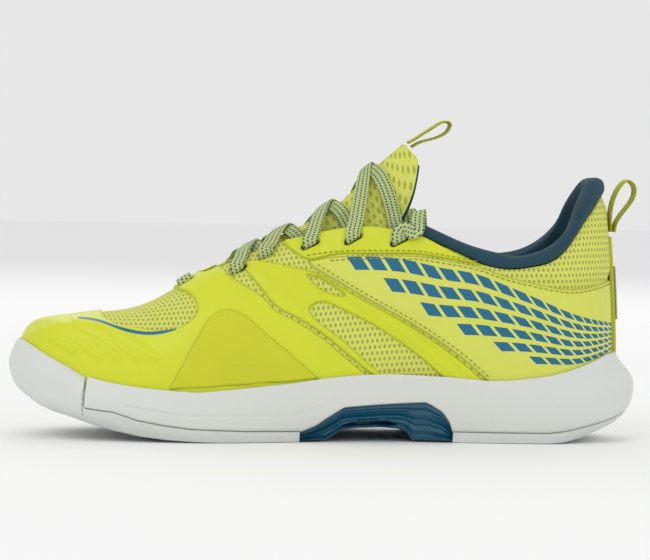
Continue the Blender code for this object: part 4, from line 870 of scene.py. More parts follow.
def drift_group():
    """A colour that drifts towards another one in soft clouds."""
    def make(g, given):
        where = {"Vector": given["Place"], "Scale": given["Scale"]}
        cloud = g.add("ShaderNodeTexNoise", {**where, "Detail": 2.0})
        share = g.math("MULTIPLY", g.band(cloud.outputs[0], 0.35, 0.7), given["Amount"])
        return {"Colour": g.mix(share, given["Colour"], given["Drift"])}
    inputs = {"Place": ("Vector", None), "Colour": ("Color", None), "Drift": ("Color", None),
              "Scale": ("Float", 30.0), "Amount": ("Float", 0.5)}
    return group("Colour drift", inputs, {"Colour": "Color"}, make)


def dimple_group():
    """Oval holes in staggered rows, with the ribs of the yarn between them."""
    def make(g, given):
        axes = g.add("ShaderNodeSeparateXYZ", {0: given["Place"]}).outputs
        u = g.math("DIVIDE", axes[0], given["Pitch"])
        v = g.math("DIVIDE", axes[1], g.math("MULTIPLY", given["Pitch"], 1.25))
        shift = g.math("MULTIPLY", g.math("FLOORED_MODULO", g.math("FLOOR", v), 2.0), 0.5)
        a = g.math("SUBTRACT", g.math("FRACT", g.math("ADD", u, shift)), 0.5)
        b = g.math("MULTIPLY", g.math("SUBTRACT", g.math("FRACT", v), 0.5), 0.8)
        far = g.math("SQRT", g.math("ADD", g.math("MULTIPLY", a, a), g.math("MULTIPLY", b, b)))
        core = g.math("MULTIPLY", given["Radius"], 0.55)
        hole = g.math("SUBTRACT", 1.0, g.band(far, core, given["Radius"]))
        yarn = g.math("ABSOLUTE", g.math("SINE", g.math("MULTIPLY", axes[1], 5.2)))
        high = g.math("SUBTRACT", g.math("MULTIPLY", yarn, 0.15), hole)
        return {"Hole": hole, "Height": high}
    inputs = {"Place": ("Vector", None), "Pitch": ("Float", 3.0), "Radius": ("Float", 0.3)}
    return group("Knit dimples", inputs, {"Hole": "Float", "Height": "Float"}, make)


def weave_group():
    """Diagonal braid: the product of two crossed sine waves. Every so many cells is a fleck."""
    def make(g, given):
        axes = g.add("ShaderNodeSeparateXYZ", {0: given["Place"]}).outputs
        u = g.math("DIVIDE", g.math("ADD", axes[0], axes[1]), given["Pitch"])
        v = g.math("DIVIDE", g.math("SUBTRACT", axes[0], axes[1]), given["Pitch"])
        a = g.math("ABSOLUTE", g.math("SINE", g.math("MULTIPLY", u, pi)))
        b = g.math("ABSOLUTE", g.math("SINE", g.math("MULTIPLY", v, pi)))
        number = g.math("ADD", g.math("FLOOR", u), g.math("MULTIPLY", g.math("FLOOR", v), 2.0))
        cell = g.math("FLOORED_MODULO", number, given["Every"])
        spot = g.math("MULTIPLY", g.math("LESS_THAN", cell, 0.5), g.band(g.math("MULTIPLY", a, b), 0.1, 0.3))
        return {"Height": g.math("MULTIPLY", a, b), "Fleck": spot}
    return group("Braid", {"Place": ("Vector", None), "Pitch": ("Float", 1.6), "Every": ("Float", 3.0)},
                 {"Height": "Float", "Fleck": "Float"}, make)


def dash_group():
    """Leaning dashes: each row starts two dashes later than the one above it."""
    def make(g, given):
        row, run = given["Row"], given["Run"]
        down = g.math("FRACT", row)
        number = g.math("FLOOR", row)
        moved = g.math("SUBTRACT", run, g.math("MULTIPLY", down, 0.75))
        cell = g.math("FRACT", moved)
        first = g.math("ADD", g.math("MULTIPLY", number, 2.0), 0.5)
        ahead = g.math("GREATER_THAN", g.math("FLOOR", moved), first)
        mask = g.math("MULTIPLY", g.math("GREATER_THAN", down, 0.16), g.math("LESS_THAN", down, 0.8))
        mask = g.math("MULTIPLY", mask, g.math("GREATER_THAN", cell, 0.22))
        mask = g.math("MULTIPLY", mask, ahead)
        mask = g.math("MULTIPLY", mask, g.math("GREATER_THAN", row, 0.0))
        return {"Dash": g.math("MULTIPLY", mask, g.math("LESS_THAN", row, float(PRINT_ROWS)))}
    return group("Dash print", {"Row": ("Float", 0.0), "Run": ("Float", 0.0)}, {"Dash": "Float"}, make)


def rgba(colour, scale=1.0):
    """The colour times the scale, opaque."""
    return tuple(min(1.0, c * scale) for c in colour) + (1.0,)


def finish(name, colour, shade, roughness, grain_scale, bump, make=None, **sockets):
    """Material of one colour that drifts to a shade of itself, with a fine grain. make adds its own marks."""
    found = bpy.data.materials.get(name)
    if found:
        return found
    made = bpy.data.materials.new(name)
    made.use_nodes = True
    g = Graph(made.node_tree)
    shader = made.node_tree.nodes["Principled BSDF"]
    for key, value in sockets.items():
        shader.inputs[key.replace("_", " ")].default_value = value
    place = g.add("ShaderNodeTexCoord").outputs
    grain = g.add("ShaderNodeGroup", {}, node_tree=grain_group())
    made.node_tree.links.new(place["Object"], grain.inputs["Place"])
    grain.inputs["Scale"].default_value = grain_scale
    drift = g.add("ShaderNodeGroup", {}, node_tree=drift_group())
    made.node_tree.links.new(place["Object"], drift.inputs["Place"])
    drift.inputs["Colour"].default_value = rgba(colour)
    drift.inputs["Drift"].default_value = rgba(colour, shade)
    tint, high = drift.outputs["Colour"], grain.outputs["Height"]
    if make:
        tint, high = make(g, place, tint, high)
    spread = {"Value": grain.outputs["Tone"], "To Min": roughness - 0.05, "To Max": roughness + 0.06}
    rough = g.add("ShaderNodeMapRange", spread)
    bumped = g.add("ShaderNodeBump", {"Height": high, "Strength": bump, "Distance": 0.0004})
    for key, value in (("Base Color", tint), ("Roughness", rough.outputs[0]), ("Normal", bumped.outputs[0])):
        made.node_tree.links.new(value, shader.inputs[key])
    return made


def colours():
    """The colours of the sidebar."""
    return bpy.context.scene.shoe_colours


def film_extras(marks):
    """Painted shade in the lace slots and along the film's edge, where it rounds down into the knit, then the
    film's own marks.
    """
    def make(g, place, tint, high):
        edge = g.attribute("edge")
        # Painted shade along the film's edge, on the slope where it rounds down into the knit.
        edge_shade = g.math("MULTIPLY", g.band(edge, -0.2, 0.1), g.math("SUBTRACT", 1.0, g.band(edge, 0.3, 0.8)))
        tint = g.mix(g.math("MULTIPLY", edge_shade, 0.45), tint, (0.30, 0.32, 0.02, 1))
        tint = marks(g, tint) if marks else tint
        # Painted shadow in the lace slots: near black where no hole is cut.
        slot = g.math("SUBTRACT", 1.0, g.band(g.attribute("slot_gap"), -0.3, 0.3))
        return g.mix(slot, tint, (0.04, 0.045, 0.01, 1)), high
    return make


def accent_marks(g, tint):
    """A thin coloured line along the accent."""
    line = g.math("SUBTRACT", 1.0, g.band(g.attribute("accent"), 0.6, 0.9))
    return g.mix(line, tint, rgba(colours().print))


def print_marks(g, tint):
    """The dashes of the quarter, from the rows and runs stored on its points."""
    dash = g.add("ShaderNodeGroup", {}, node_tree=dash_group())
    g.tree.links.new(g.attribute("print_row"), dash.inputs["Row"])
    g.tree.links.new(g.attribute("print_run"), dash.inputs["Run"])
    return g.mix(dash.outputs[0], tint, rgba(colours().print))


def knit_extras(pitch, radius, hole_shade):
    """Dimples at a pitch in millimetres, filled with a darker colour as painted shade in the holes, with
    faint grain between them.
    """
    def make(g, place, tint, high):
        knit = g.add("ShaderNodeGroup")
        knit.node_tree = dimple_group()
        g.tree.links.new(place["UV"], knit.inputs["Place"])
        knit.inputs["Pitch"].default_value = pitch
        knit.inputs["Radius"].default_value = radius
        # Painted shade: the holes take the darker colour.
        tint = g.mix(g.math("MULTIPLY", knit.outputs["Hole"], 0.75), tint, hole_shade)
        return tint, g.math("ADD", knit.outputs["Height"], g.math("MULTIPLY", high, 0.15))
    return make


def braid_extras(pitch, every, fleck):
    """A braid at a pitch in millimetres, with painted shade in its grooves, with flecks where a colour is
    given.
    """
    def make(g, place, tint, high):
        braid = g.add("ShaderNodeGroup", {}, node_tree=weave_group())
        g.tree.links.new(place["UV"], braid.inputs["Place"])
        braid.inputs["Pitch"].default_value = pitch
        braid.inputs["Every"].default_value = every
        if fleck is not None:
            tint = g.mix(braid.outputs["Fleck"], tint, fleck)
        # Painted shade: the braid's grooves darken towards a deep olive.
        shade = g.math("SUBTRACT", 1.0, g.band(braid.outputs["Height"], 0.0, 0.25))
        return g.mix(g.math("MULTIPLY", shade, 0.35), tint, (0.08, 0.1, 0.02, 1)), braid.outputs["Height"]
    return make


FINISHES = {
    "toe film": lambda: finish("Toe film", colours().lime, 0.93, 0.36, 1400, 0.12, film_extras(accent_marks)),
    "cage film": lambda: finish("Cage film", colours().lime, 0.9, 0.34, 1400, 0.12, film_extras(None)),
    "quarter film": lambda: finish("Quarter film", colours().pale, 0.95, 0.42, 1600, 0.15,
                                   film_extras(print_marks)),
    "guard film": lambda: finish("Guard film", colours().deep, 0.93, 0.4, 2200, 0.25, film_extras(None)),
    # The darker colours given to knit_extras are painted shade in the knit's holes.
    "knit": lambda: finish("Knit", colours().knit, 0.93, 0.75, 2500, 0.8,
                           knit_extras(2.3, 0.3, (0.30, 0.31, 0.06, 1))),
    "collar knit": lambda: finish("Collar knit", colours().knit, 0.9, 0.8, 2500, 0.8,
                                  knit_extras(3.6, 0.27, (0.36, 0.38, 0.01, 1))),
    "lining": lambda: finish("Lining", colours().teal, 1.25, 0.8, 3000, 0.5, braid_extras(0.9, 3.0, None),
                             Sheen_Weight=0.05, Sheen_Roughness=0.5),
    "foam": lambda: finish("Midsole foam", colours().sole, 0.97, 0.55, 1800, 0.12),
    "rubber": lambda: finish("Outsole rubber", colours().sole, 0.95, 0.5, 2400, 0.15),
    "shank": lambda: finish("Shank plastic", (0.0, 0.075, 0.14), 0.9, 0.3, 1500, 0.06, Coat_Weight=0.2),
    "lace": lambda: finish("Lace", (0.66, 0.73, 0.25), 0.95, 0.75, 2500, 0.9,
                           braid_extras(1.35, 3.0, rgba(colours().print))),
    "webbing": lambda: finish("Webbing", colours().deep, 0.9, 0.7, 2500, 0.9, braid_extras(1.2, 3.0, None)),
    "tip": lambda: finish("Lace tip", (0.68, 0.74, 0.45), 0.95, 0.2, 900, 0.05, Coat_Weight=0.5),
    "reflector": lambda: finish("Reflector", (0.42, 0.46, 0.5), 0.9, 0.3, 2600, 0.3, Metallic=0.5),
    "thread": lambda: finish("Thread", (0.30, 0.32, 0.02), 0.85, 0.7, 4000, 0.3),
    "board": lambda: finish("Board", (0.55, 0.5, 0.4), 0.9, 0.85, 1500, 0.4),
    "stiffener": lambda: finish("Stiffener", (0.7, 0.68, 0.6), 0.95, 0.6, 1200, 0.2),
}


# ---- sole ----

def wall_data(t, side):
    """Heights and outsets of the sole's wall at its ground edge, bevel, bulge and lip."""
    flare = 0.0 if side == MEDIAL else LATERAL_FLARE * np.clip(np.sin(pi * t / 11), 0, 1)
    table = np.stack([np.interp(t, np.arange(HEEL + 1), WALL[:, i]) for i in range(5)])
    bottom, bevel, bulge, bevel_z, bulge_z = table
    foot = plan_edge(t, side, bottom + flare)[..., 1]
    ground = height(GROUND_LINE, foot)
    top = height(resample(SOLE_TOP, 300), EDGE_Y(t))
    lip = skin(t, sole_angle(t, 0), side, CUP_GAP + CUP_WALL)
    edge = plan_edge(t, side, 0 * t)
    outward = plan_edge(t, side, 0 * t + 1) - edge
    out = np.linalg.norm(lip[..., :2] - edge, axis=-1) * np.sign(((lip[..., :2] - edge) * outward).sum(-1))
    bevel_z = np.maximum(bevel_z, ground + 1.5)
    bulge_z = np.maximum(bulge_z, bevel_z + 2)
    heights = np.stack([ground, bevel_z, bulge_z, np.maximum(top, bulge_z + 1)], -1)
    return heights, np.stack([bottom + flare, bevel + flare, bulge + flare, out], -1), top


def wall_at(t, side, data, z, inset):
    """Wall points at rows of heights: cubic pieces through the four stated outsets, with averaged slopes."""
    keys, values, _ = data
    secant = np.diff(values, axis=1) / np.diff(keys, axis=1)
    slope = np.concatenate([secant[:, :1], (secant[:, 1:] + secant[:, :-1]) / 2, secant[:, -1:]], 1)
    index = (z[..., None] > keys[:, None, 1:-1]).sum(-1)
    low, high = [np.take_along_axis(keys, index + k, 1) for k in (0, 1)]
    a, b = [np.take_along_axis(values, index + k, 1) for k in (0, 1)]
    m, n = [np.take_along_axis(slope, index + k, 1) for k in (0, 1)]
    w = high - low
    p = np.clip((z - low) / w, 0, 1)
    out = (2 * p**3 - 3 * p**2 + 1) * a + (p**3 - 2 * p**2 + p) * w * m
    out = out + (3 * p**2 - 2 * p**3) * b + (p**3 - p**2) * w * n
    stations = np.broadcast_to(t[:, None], z.shape)
    plan = plan_edge(stations, side, out - inset)
    return np.concatenate([plan, z[..., None]], -1)


def sole_stations(low, high):
    """Stations with Y between the two limits, with every break in the lines of the sole."""
    breaks = [-111, -110.2, -109.6, -108.8, -12.4, -12, 0, 4, 7.5, 34, 38, 41, 59, 59.4]
    t = np.sort(np.concatenate([np.linspace(0, HEEL, 330), station_at(np.array(breaks, float))]))
    t = t[np.concatenate([[True], np.diff(t) > 0.008])]
    y = EDGE_Y(t)
    return t[(y > low) & (y < high)]


def sole_shell(name, t, slot, finish_name, flutes, tread):
    """Outer shell of the sole: a rounded wall up to its rim, and a bottom with herringbone grooves."""
    sizes = bpy.context.scene.shoe_sizes
    halves = []
    y = EDGE_Y(t)
    floor_z = FLOOR_Z(t) - BOARD_DROP
    toe = 1 - np.clip((y - BUMPER_END[0]) / (BUMPER_END[1] - BUMPER_END[0]), 0, 1)
    for side in (MEDIAL, LATERAL):
        data = wall_data(t, side)
        ground, top = data[0][:, 0], data[2]
        low = np.maximum(height(PARTING_LINE, y), ground + OUTSOLE_THICKNESS + 1)
        low = np.minimum(low, floor_z - 0.5)
        rim = low * (1 - toe) + top * toe
        share = np.linspace(0, 1, 18)[None]
        z = ground[:, None] + (rim - ground)[:, None] * share
        inset = 0.9 * (1 - soft_step(share / 0.06)) + 0.7 * soft_step((share - 0.94) / 0.06)
        if flutes:
            fade = soft_step(share * 6) * soft_step((1 - share) * 6)
            inset = inset + sizes.flute_depth / MM * (1 + np.cos(2 * pi * SHANK_FLUTES * share)) * fade
            flat = np.stack([np.broadcast_to(y[:, None], z.shape), z], -1)
            slit = signed(flat, ring_of(SHANK_SLIT[:3], SHANK_SLIT[3:]))
            inset = inset + SLIT_DEPTH * soft_step(slit / 0.8 + 0.5)
        outer = wall_at(t, side, data, z, inset)
        base = np.where(y < SLAB_START - 0.5, floor_z - 0.2, ground + OUTSOLE_THICKNESS)
        plain = [wall_at(t, side, data, (base + (rim - base) * k)[:, None], OUTSOLE_THICKNESS)[:, 0]
                 for k in (1, 0.5, 0)]
        angle = sole_angle(t, 0)
        bumper = [skin(t, angle, side, CUP_GAP), skin(t, angle * 0.4, side, CUP_GAP),
                  wall_at(t, side, data, base[:, None], OUTSOLE_THICKNESS)[:, 0]]
        inner = [p * (1 - toe)[:, None] + q * toe[:, None] for p, q in zip(plain, bumper)]
        halves.append(np.concatenate([outer, np.stack(inner, 1)], 1))
    across = np.linspace(0, 1, 62)[None, 1:-1, None]
    bottom = halves[1][:, :1] * (1 - across) + halves[0][:, :1] * across
    if tread:
        fold = np.abs(((bottom[..., 0] / 11) % 2) - 1) * 11
        wave = ((bottom[..., 1] + fold) / 5.5) % 1
        groove = soft_step((0.5 - np.abs(wave - 0.5)) / 0.12 - 1.4)
        wide = np.clip((np.abs(halves[0][:, :1, 0] - halves[1][:, :1, 0]) - 12) / 20, 0, 1)
        rim_fade = np.clip(np.minimum(across[..., 0], 1 - across[..., 0]) / 0.07, 0, 1)
        bottom[..., 2] += sizes.tread_depth / MM * (1 - groove) * wide * rim_fade
    rings = np.concatenate([halves[0], halves[1][:, ::-1], bottom], 1)
    return loft(name, rings, "shoe", slot, finish_name, [name.replace("_tread", "")], 35)


def midsole():
    """Cup of foam: a rounded wall from the parting line to a soft lip, and a floor under the foot."""
    t = sole_stations(CUP_START[0] - 0.2, 200)
    y = EDGE_Y(t)
    floor_z = FLOOR_Z(t) - BOARD_DROP
    halves = []
    for side in (MEDIAL, LATERAL):
        data = wall_data(t, side)
        ground, top = data[0][:, 0], data[2]
        low = np.maximum(height(PARTING_LINE, y), ground + OUTSOLE_THICKNESS + 1)
        step = np.minimum(low, floor_z - 0.5) + 0.3
        share = np.linspace(0, 1, 22)[None]
        z = step[:, None] + (top - step)[:, None] * share
        inset = 0.8 * (1 - soft_step(share / 0.05))
        crease = 0.5 * np.exp(-((share - 0.38) / 0.035)**2)
        crease = crease * soft_step((y[:, None] + 108) / 20) * soft_step((20 - y[:, None]) / 40)
        outer = wall_at(t, side, data, z, inset + crease)
        angle = sole_angle(t, 0)
        lip = [skin(t, angle + 0.012, side, CUP_GAP + CUP_WALL * 0.7),
               skin(t, angle + 0.012, side, CUP_GAP + 0.3)]
        lip += [skin(t, angle * k, side, CUP_GAP) for k in (1, 0.5, 0)]
        lip += [np.concatenate([plan_edge(t, side, 0 * t + CUP_GAP), floor_z[:, None]], -1)]
        rebate = OUTSOLE_THICKNESS + REBATE_GAP
        start = [wall_at(t, side, data, (ground + rebate)[:, None], rebate)[:, 0],
                 wall_at(t, side, data, step[:, None], rebate)[:, 0]]
        halves.append(np.concatenate([np.stack(start, 1), outer, np.stack(lip, 1)], 1))
    rings = np.concatenate([halves[0], halves[1][:, ::-1]], 1)
    return loft("midsole_cup", rings, "shoe", "midsole_foam", "foam", ["midsole"], 50)


# ---- operators ----

class SHOE_OT_stage(bpy.types.Operator):
    """Floor, lights, pale surroundings and the camera"""

    bl_idname = "shoe.stage"
    bl_label = "Stage"

    def execute(self, context):
        scene = context.scene
        mesh = bpy.data.meshes.new("floor")
        mesh.from_pydata([(-6, -6, 0), (6, -6, 0), (6, 6, 0), (-6, 6, 0)], [], [(0, 1, 2, 3)])
        floor = bpy.data.objects.new("floor", mesh)
        scene.collection.objects.link(floor)
        paint = bpy.data.materials.new("Floor paint")
        paint.use_nodes = True
        shader = paint.node_tree.nodes["Principled BSDF"]
        shader.inputs["Base Color"].default_value = (0.95, 0.95, 0.95, 1)
        shader.inputs["Roughness"].default_value = 0.9
        mesh.materials.append(paint)
        world = bpy.data.worlds.new("Surroundings")
        world.use_nodes = True
        world.node_tree.nodes["Background"].inputs["Color"].default_value = (1, 1, 1, 1)
        world.node_tree.nodes["Background"].inputs["Strength"].default_value = 0.8
        scene.world = world
        scene.view_settings.view_transform = "Standard"
        for name, place, power, size in LIGHTS:
            light = bpy.data.lights.new(name, "AREA")
            light.energy = power
            light.size = size
            obj = bpy.data.objects.new(name, light)
            turn = (-Vector(place)).to_track_quat("-Z", "Y").to_matrix().to_4x4()
            obj.matrix_world = Matrix.Translation(place) @ turn
            scene.collection.objects.link(obj)
        camera = bpy.data.objects.new("camera", bpy.data.cameras.new("camera"))
        camera.data.lens = CAMERA_LENS
        camera.data.sensor_width = 36
        away = radians(CAMERA_AZIMUTH)
        lift = radians(CAMERA_LIFT)
        back = Vector((np.cos(lift) * np.sin(away), -np.cos(lift) * np.cos(away), np.sin(lift)))
        turn = back.to_track_quat("Z", "Y").to_matrix().to_4x4()
        turn = turn @ Matrix.Rotation(radians(CAMERA_ROLL), 4, "Z")
        camera.matrix_world = Matrix.Translation(Vector(CAMERA_TARGET) + back * CAMERA_DISTANCE) @ turn
        scene.collection.objects.link(camera)
        scene.camera = camera
        return {"FINISHED"}


class SHOE_OT_lace(bpy.types.Operator):
    """Flat braided lace and its two tips"""

    bl_idname = "shoe.lace"
    bl_label = "Lace"

    def execute(self, context):
        centre, _, width, _ = lace_frames(lace_route())
        run = run_of(centre)
        at = np.linspace(0, run[-1], int(run[-1] / LACE_RING_GAP))
        centre, width = [natural_spline(run, values)(at) for values in (centre, width)]
        along = unit(np.gradient(centre, axis=0))
        width = unit(width - along * (width * along).sum(1)[:, None])
        face = np.cross(along, width)
        turn = np.linspace(0, 2 * pi, 15)[:-1]
        across = flattened(turn, 0.45) * LACE_WIDTH / 2
        up = flattened(turn - pi / 2, 0.8) * LACE_THICKNESS / 2
        rings = centre[:, None] + width[:, None] * across[:, None] + face[:, None] * up[:, None]
        lace = loft("lace_braid", rings, "shoe", "lace", "lace", ["lace"], 70)
        for name, end, direction in (("aglet_medial", 0, -1), ("aglet_lateral", -1, 1)):
            size = np.array([0.55, 0.95, 1, 1, 0.97, 1, 1, 0.9, 0.5])
            dist = np.array([0.5, 0.7, 1.4, 6, 8, 10, 20, 21.5, 22])
            oval = width[end] * TIP_HALF_WIDTH * np.cos(turn)[:, None]
            oval = oval + face[end] * TIP_HALF_THICKNESS * np.sin(turn)[:, None]
            middle = centre[end] + along[end] * direction * dist[:, None, None]
            points = middle + oval[None] * size[:, None, None]
            loft(name + "_tip", points, "shoe", "lace_tip", "tip", [name], 50)
        route = (np.vstack([centre[::3], centre[-1:]]) + CENTRE_SHIFT) * MM
        path = [tuple(point) for point in route.tolist()]
        length = float(run_of(route)[-1])
        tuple(path[0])
        return {"FINISHED"}


class SHOE_OT_sole(bpy.types.Operator):
    """Midsole cup, two outsoles and the fluted shank"""

    bl_idname = "shoe.sole"
    bl_label = "Sole unit"

    def execute(self, context):
        midsole()
        fore = sole_stations(-200, FOREFOOT_END)
        heel = sole_stations(HEEL_START, 200)
        sole_shell("outsole_forefoot_tread", fore, "outsole_rubber", "rubber", False, True)
        sole_shell("outsole_heel_tread", heel, "outsole_rubber", "rubber", False, True)
        sole_shell("midfoot_shank_tread", sole_stations(*SHANK_ENDS), "shank_plastic", "shank", True, False)
        return {"FINISHED"}


class SHOE_OT_knit(bpy.types.Operator):
    """Knit upper with a padded collar, and the lining of the vamp"""

    bl_idname = "shoe.knit"
    bl_label = "Knit"

    def execute(self, context):
        t = np.append(np.arange(0, HEEL, 0.07), HEEL)
        share = np.linspace(0, 1, 52)[None]
        th = top_angle(t)[:, None] * share
        wide = np.broadcast_to(t[:, None], th.shape)
        flat = last(wide, th, MEDIAL)[..., 1:]
        above = distance(flat, resample(QUARTER_TOP, 60)) * (flat[..., 1] > height(QUARTER_TOP, flat[..., 0]))
        below = distance(flat, resample(COLLAR, 60))
        puff = 1.7 * soft_step(above / 6) * soft_step(below / 6) * (wide > 9.3)

        gaps = {side: slot_fields(last(wide, th, side), side) for side in (MEDIAL, LATERAL)}

        def offset(side):
            """The knit's own depth with the collar's puff, lowered in the lace slots."""
            return KNIT_OUT + puff - 1.2 * (1 - soft_step(gaps[side] / 0.8 + 0.5))

        around("knit_upper", t, th, offset, KNIT_THICKNESS, "mesh", "knit", ["upper_base_mesh"],
               {"slot_gap": gaps.get})
        front = np.arange(0, 8.3, 0.12)
        rows = top_angle(front)[:, None] * np.linspace(0, 1, 26)[None]
        under = np.clip((PUFF_HEIGHT + 0.25 - rows) / 0.2, 0, 1)
        deep = np.clip((THROAT_BASE - 0.9 - front) / 0.8, 0, 1)[:, None] * under
        tip = np.clip(1.5 - front, 0, 1)[:, None] * TIP_CLEARANCE
        around("vamp_inner", front, rows, EDGE_LINING_OUT * (1 - deep) + VAMP_LINING_OUT * deep - tip,
               LINING_THICKNESS, "lining_fabric", "lining", ["vamp_lining"])
        return {"FINISHED"}


class SHOE_OT_films(bpy.types.Operator):
    """Fused films: toe, cages, quarters, eyestays and guards"""

    bl_idname = "shoe.films"
    bl_label = "Films"

    def execute(self, context):
        rib = context.scene.shoe_sizes.rib_height / MM
        toe = ring_of([(-170, 0), (-170, 130)], [(-50, 130), (-50, 80.4)], VAMP_REAR, [(25.5, 0), (-170, 0)])
        window = ring_of(TOE_WINDOW + TOE_WINDOW[:1])
        ribs = [(line, rib, 1.7) for line in TOE_RIBS] + [(ACCENT, 0.35, 1.1)]
        film("toe_film", (MEDIAL, LATERAL), (0, 8.6), 100, toe, [window], 0.0, ribs, "overlay_film",
             "toe film", ["toe_overlay"], {"accent": lambda flat: distance(flat, resample(ACCENT, 80))})
        cage = ring_of(CAGE_FRONT, CAGE_TOP[::-1])
        holes = [ring_of(hole + hole[:1]) for hole in (CAGE_WINDOW, SIDE_WINDOW)]
        below = [(90, 15), (160, 15), (160, 76), (137, 76)]
        quarter = ring_of(QUARTER_FRONT[:9], below, QUARTER_TOP[::-1])
        stay = ring_of(EYESTAY_LOW, EYESTAY_TOP[::-1])
        guard = ring_of(GUARD_FRONT, GUARD_REAR[::-1])
        folds = [(path, 0.5, 0.9) for path in CAGE_RIDGES]
        piping = [(QUARTER_FRONT[1:8], 0.45, 0.8)]
        pill = [([(y, PILL_HEIGHT + rise) for y in PILL_ENDS], 0.3, 0.45) for rise in (PILL_HALF, -PILL_HALF)]
        printed = {"print_row": print_row, "print_run": print_run}
        kinds = (
            ("cage_film_", (4.9, 10.2), 92, cage, holes, 0.1, folds, "overlay_film", "cage film",
             "cage_", None),
            ("quarter_film_", (6.6, HEEL), 92, quarter, [], 0.15, piping, "quarter_film", "quarter film",
             "quarter_panel_", printed),
            ("eyestay_film_", (6.2, 9.9), 110, stay, [], 0.25, [], "overlay_film", "cage film",
             "eyestay_", None),
            ("guard_film_", (4.2, 7.4), 92, guard, [], 0.95, pill, "guard_film", "guard film",
             "forefoot_guard_", None),
        )
        for side, word in ((MEDIAL, "medial"), (LATERAL, "lateral")):
            for name, span, rows, ring, windows, level, ridges, slot, finish_name, node, marks in kinds:
                film(name + word, (side,), span, rows, ring, windows, level, ridges, slot, finish_name,
                     [node + word], marks)
        return {"FINISHED"}


class SHOE_OT_stitches(bpy.types.Operator):
    """Rows of stitches along the quarters, the eyestays and the collar"""

    bl_idname = "shoe.stitches"
    bl_label = "Stitches"

    def execute(self, context):
        pitch = context.scene.shoe_sizes.stitch_pitch / MM
        lines = [([(y + 1.6, z + 1.1) for y, z in QUARTER_FRONT[1:8]], 0.2),
                 ([(y, z - 1.6) for y, z in QUARTER_TOP[1:]], 0.2),
                 ([(y, z + 1.3) for y, z in EYESTAY_LOW[2:]], 0.3)]
        a, b = np.meshgrid(np.linspace(0, pi, 5), np.linspace(0, 2 * pi, 7)[:-1], indexing="ij")
        unit_ball = np.stack([np.cos(a), np.sin(a) * np.cos(b), np.sin(a) * np.sin(b)], -1)
        shape = unit_ball.reshape(-1, 3) * STITCH_HALVES
        i, j = np.meshgrid(np.arange(4) * 6, np.arange(6), indexing="ij")
        k = (j + 1) % 6
        cells = np.stack([i + j, i + 6 + j, i + 6 + k, i + k], -1).reshape(-1, 4)
        for side, word in ((MEDIAL, "medial"), (LATERAL, "lateral")):
            points = []
            faces = []
            for line, lift in lines:
                path = resample(line, 400)
                t, th = side_coords(path).T
                place = skin(t, th, side, lift + 0.15)
                run = run_of(place)
                at = np.arange(1, run[-1] - 1, pitch)
                pick = np.stack([np.interp(at, run, place[:, n]) for n in range(3)], -1)
                slope = np.gradient(place, axis=0)
                ahead = unit(np.stack([np.interp(at, run, slope[:, n]) for n in range(3)], -1))
                up = normal(np.interp(at, run, t), np.interp(at, run, th), side)
                aside = np.cross(up, ahead)
                frames_of = np.stack([ahead, aside, up], 1)
                start = sum(len(p) for p in points)
                made = (pick[:, None] + np.einsum("vk,nkx->nvx", shape, frames_of)).reshape(-1, 3)
                first = np.arange(len(at)) * len(shape) + start
                faces.append((cells[None] + first[:, None, None]).reshape(-1, 4))
                points.append(made)
            obj = put("stitches_" + word, np.concatenate(points), np.concatenate(faces), "shoe", "trim_film",
                      "thread")
            face_out(obj, 180)
        return {"FINISHED"}


class SHOE_OT_heel(bpy.types.Operator):
    """Back strip, reflector and both pull loops"""

    bl_idname = "shoe.heel"
    bl_label = "Heel trims and loops"

    def execute(self, context):
        strip = np.linspace(13.4, HEEL, 16)
        share = np.linspace(0, 1, 60)[None]
        low, high = [side_angle(strip, z + 0 * strip)[:, None] for z in (41, 96)]
        crown = (1.2 + 0.7 * soft_step((strip - 13.4) / 0.2))[:, None]
        around("backstay_strip", strip, low * (1 - share) + high * share, crown, 1.4, "trim_film", "webbing",
               ["backstay"])
        shine = np.linspace(13.72, HEEL, 8)
        low, high = [side_angle(shine, z + 0 * shine)[:, None] for z in (57, 82)]
        around("reflector_bar", shine, low * (1 - share) + high * share, 2.9 + 0 * share, 0.8, "reflector",
               "reflector", ["heel_reflector"])
        for name, body, path in (("heel_pull_loop", "heel_loop", HEEL_LOOP),
                                 ("tongue_pull_loop", "tongue_loop", TONGUE_LOOP)):
            points = resample(path, 90)
            run = unit(np.gradient(points, axis=0))
            up = np.stack([0 * run[:, 0], -run[:, 1], run[:, 0]], -1)
            turn = np.linspace(0, 2 * pi, 17)[:-1]
            x = flattened(turn, 0.4) * STRAP_WIDTH / 2
            lift = flattened(turn - pi / 2, 0.8) * STRAP_THICKNESS / 2
            centre = np.concatenate([np.zeros((90, 1)), points], 1)
            sideways = x[None, :, None] * np.array([1.0, 0, 0])
            rings = centre[:, None] + sideways + lift[None, :, None] * up[:, None]
            loft(name + "_webbing", rings, body, "webbing", "webbing", [name], 70)
        return {"FINISHED"}


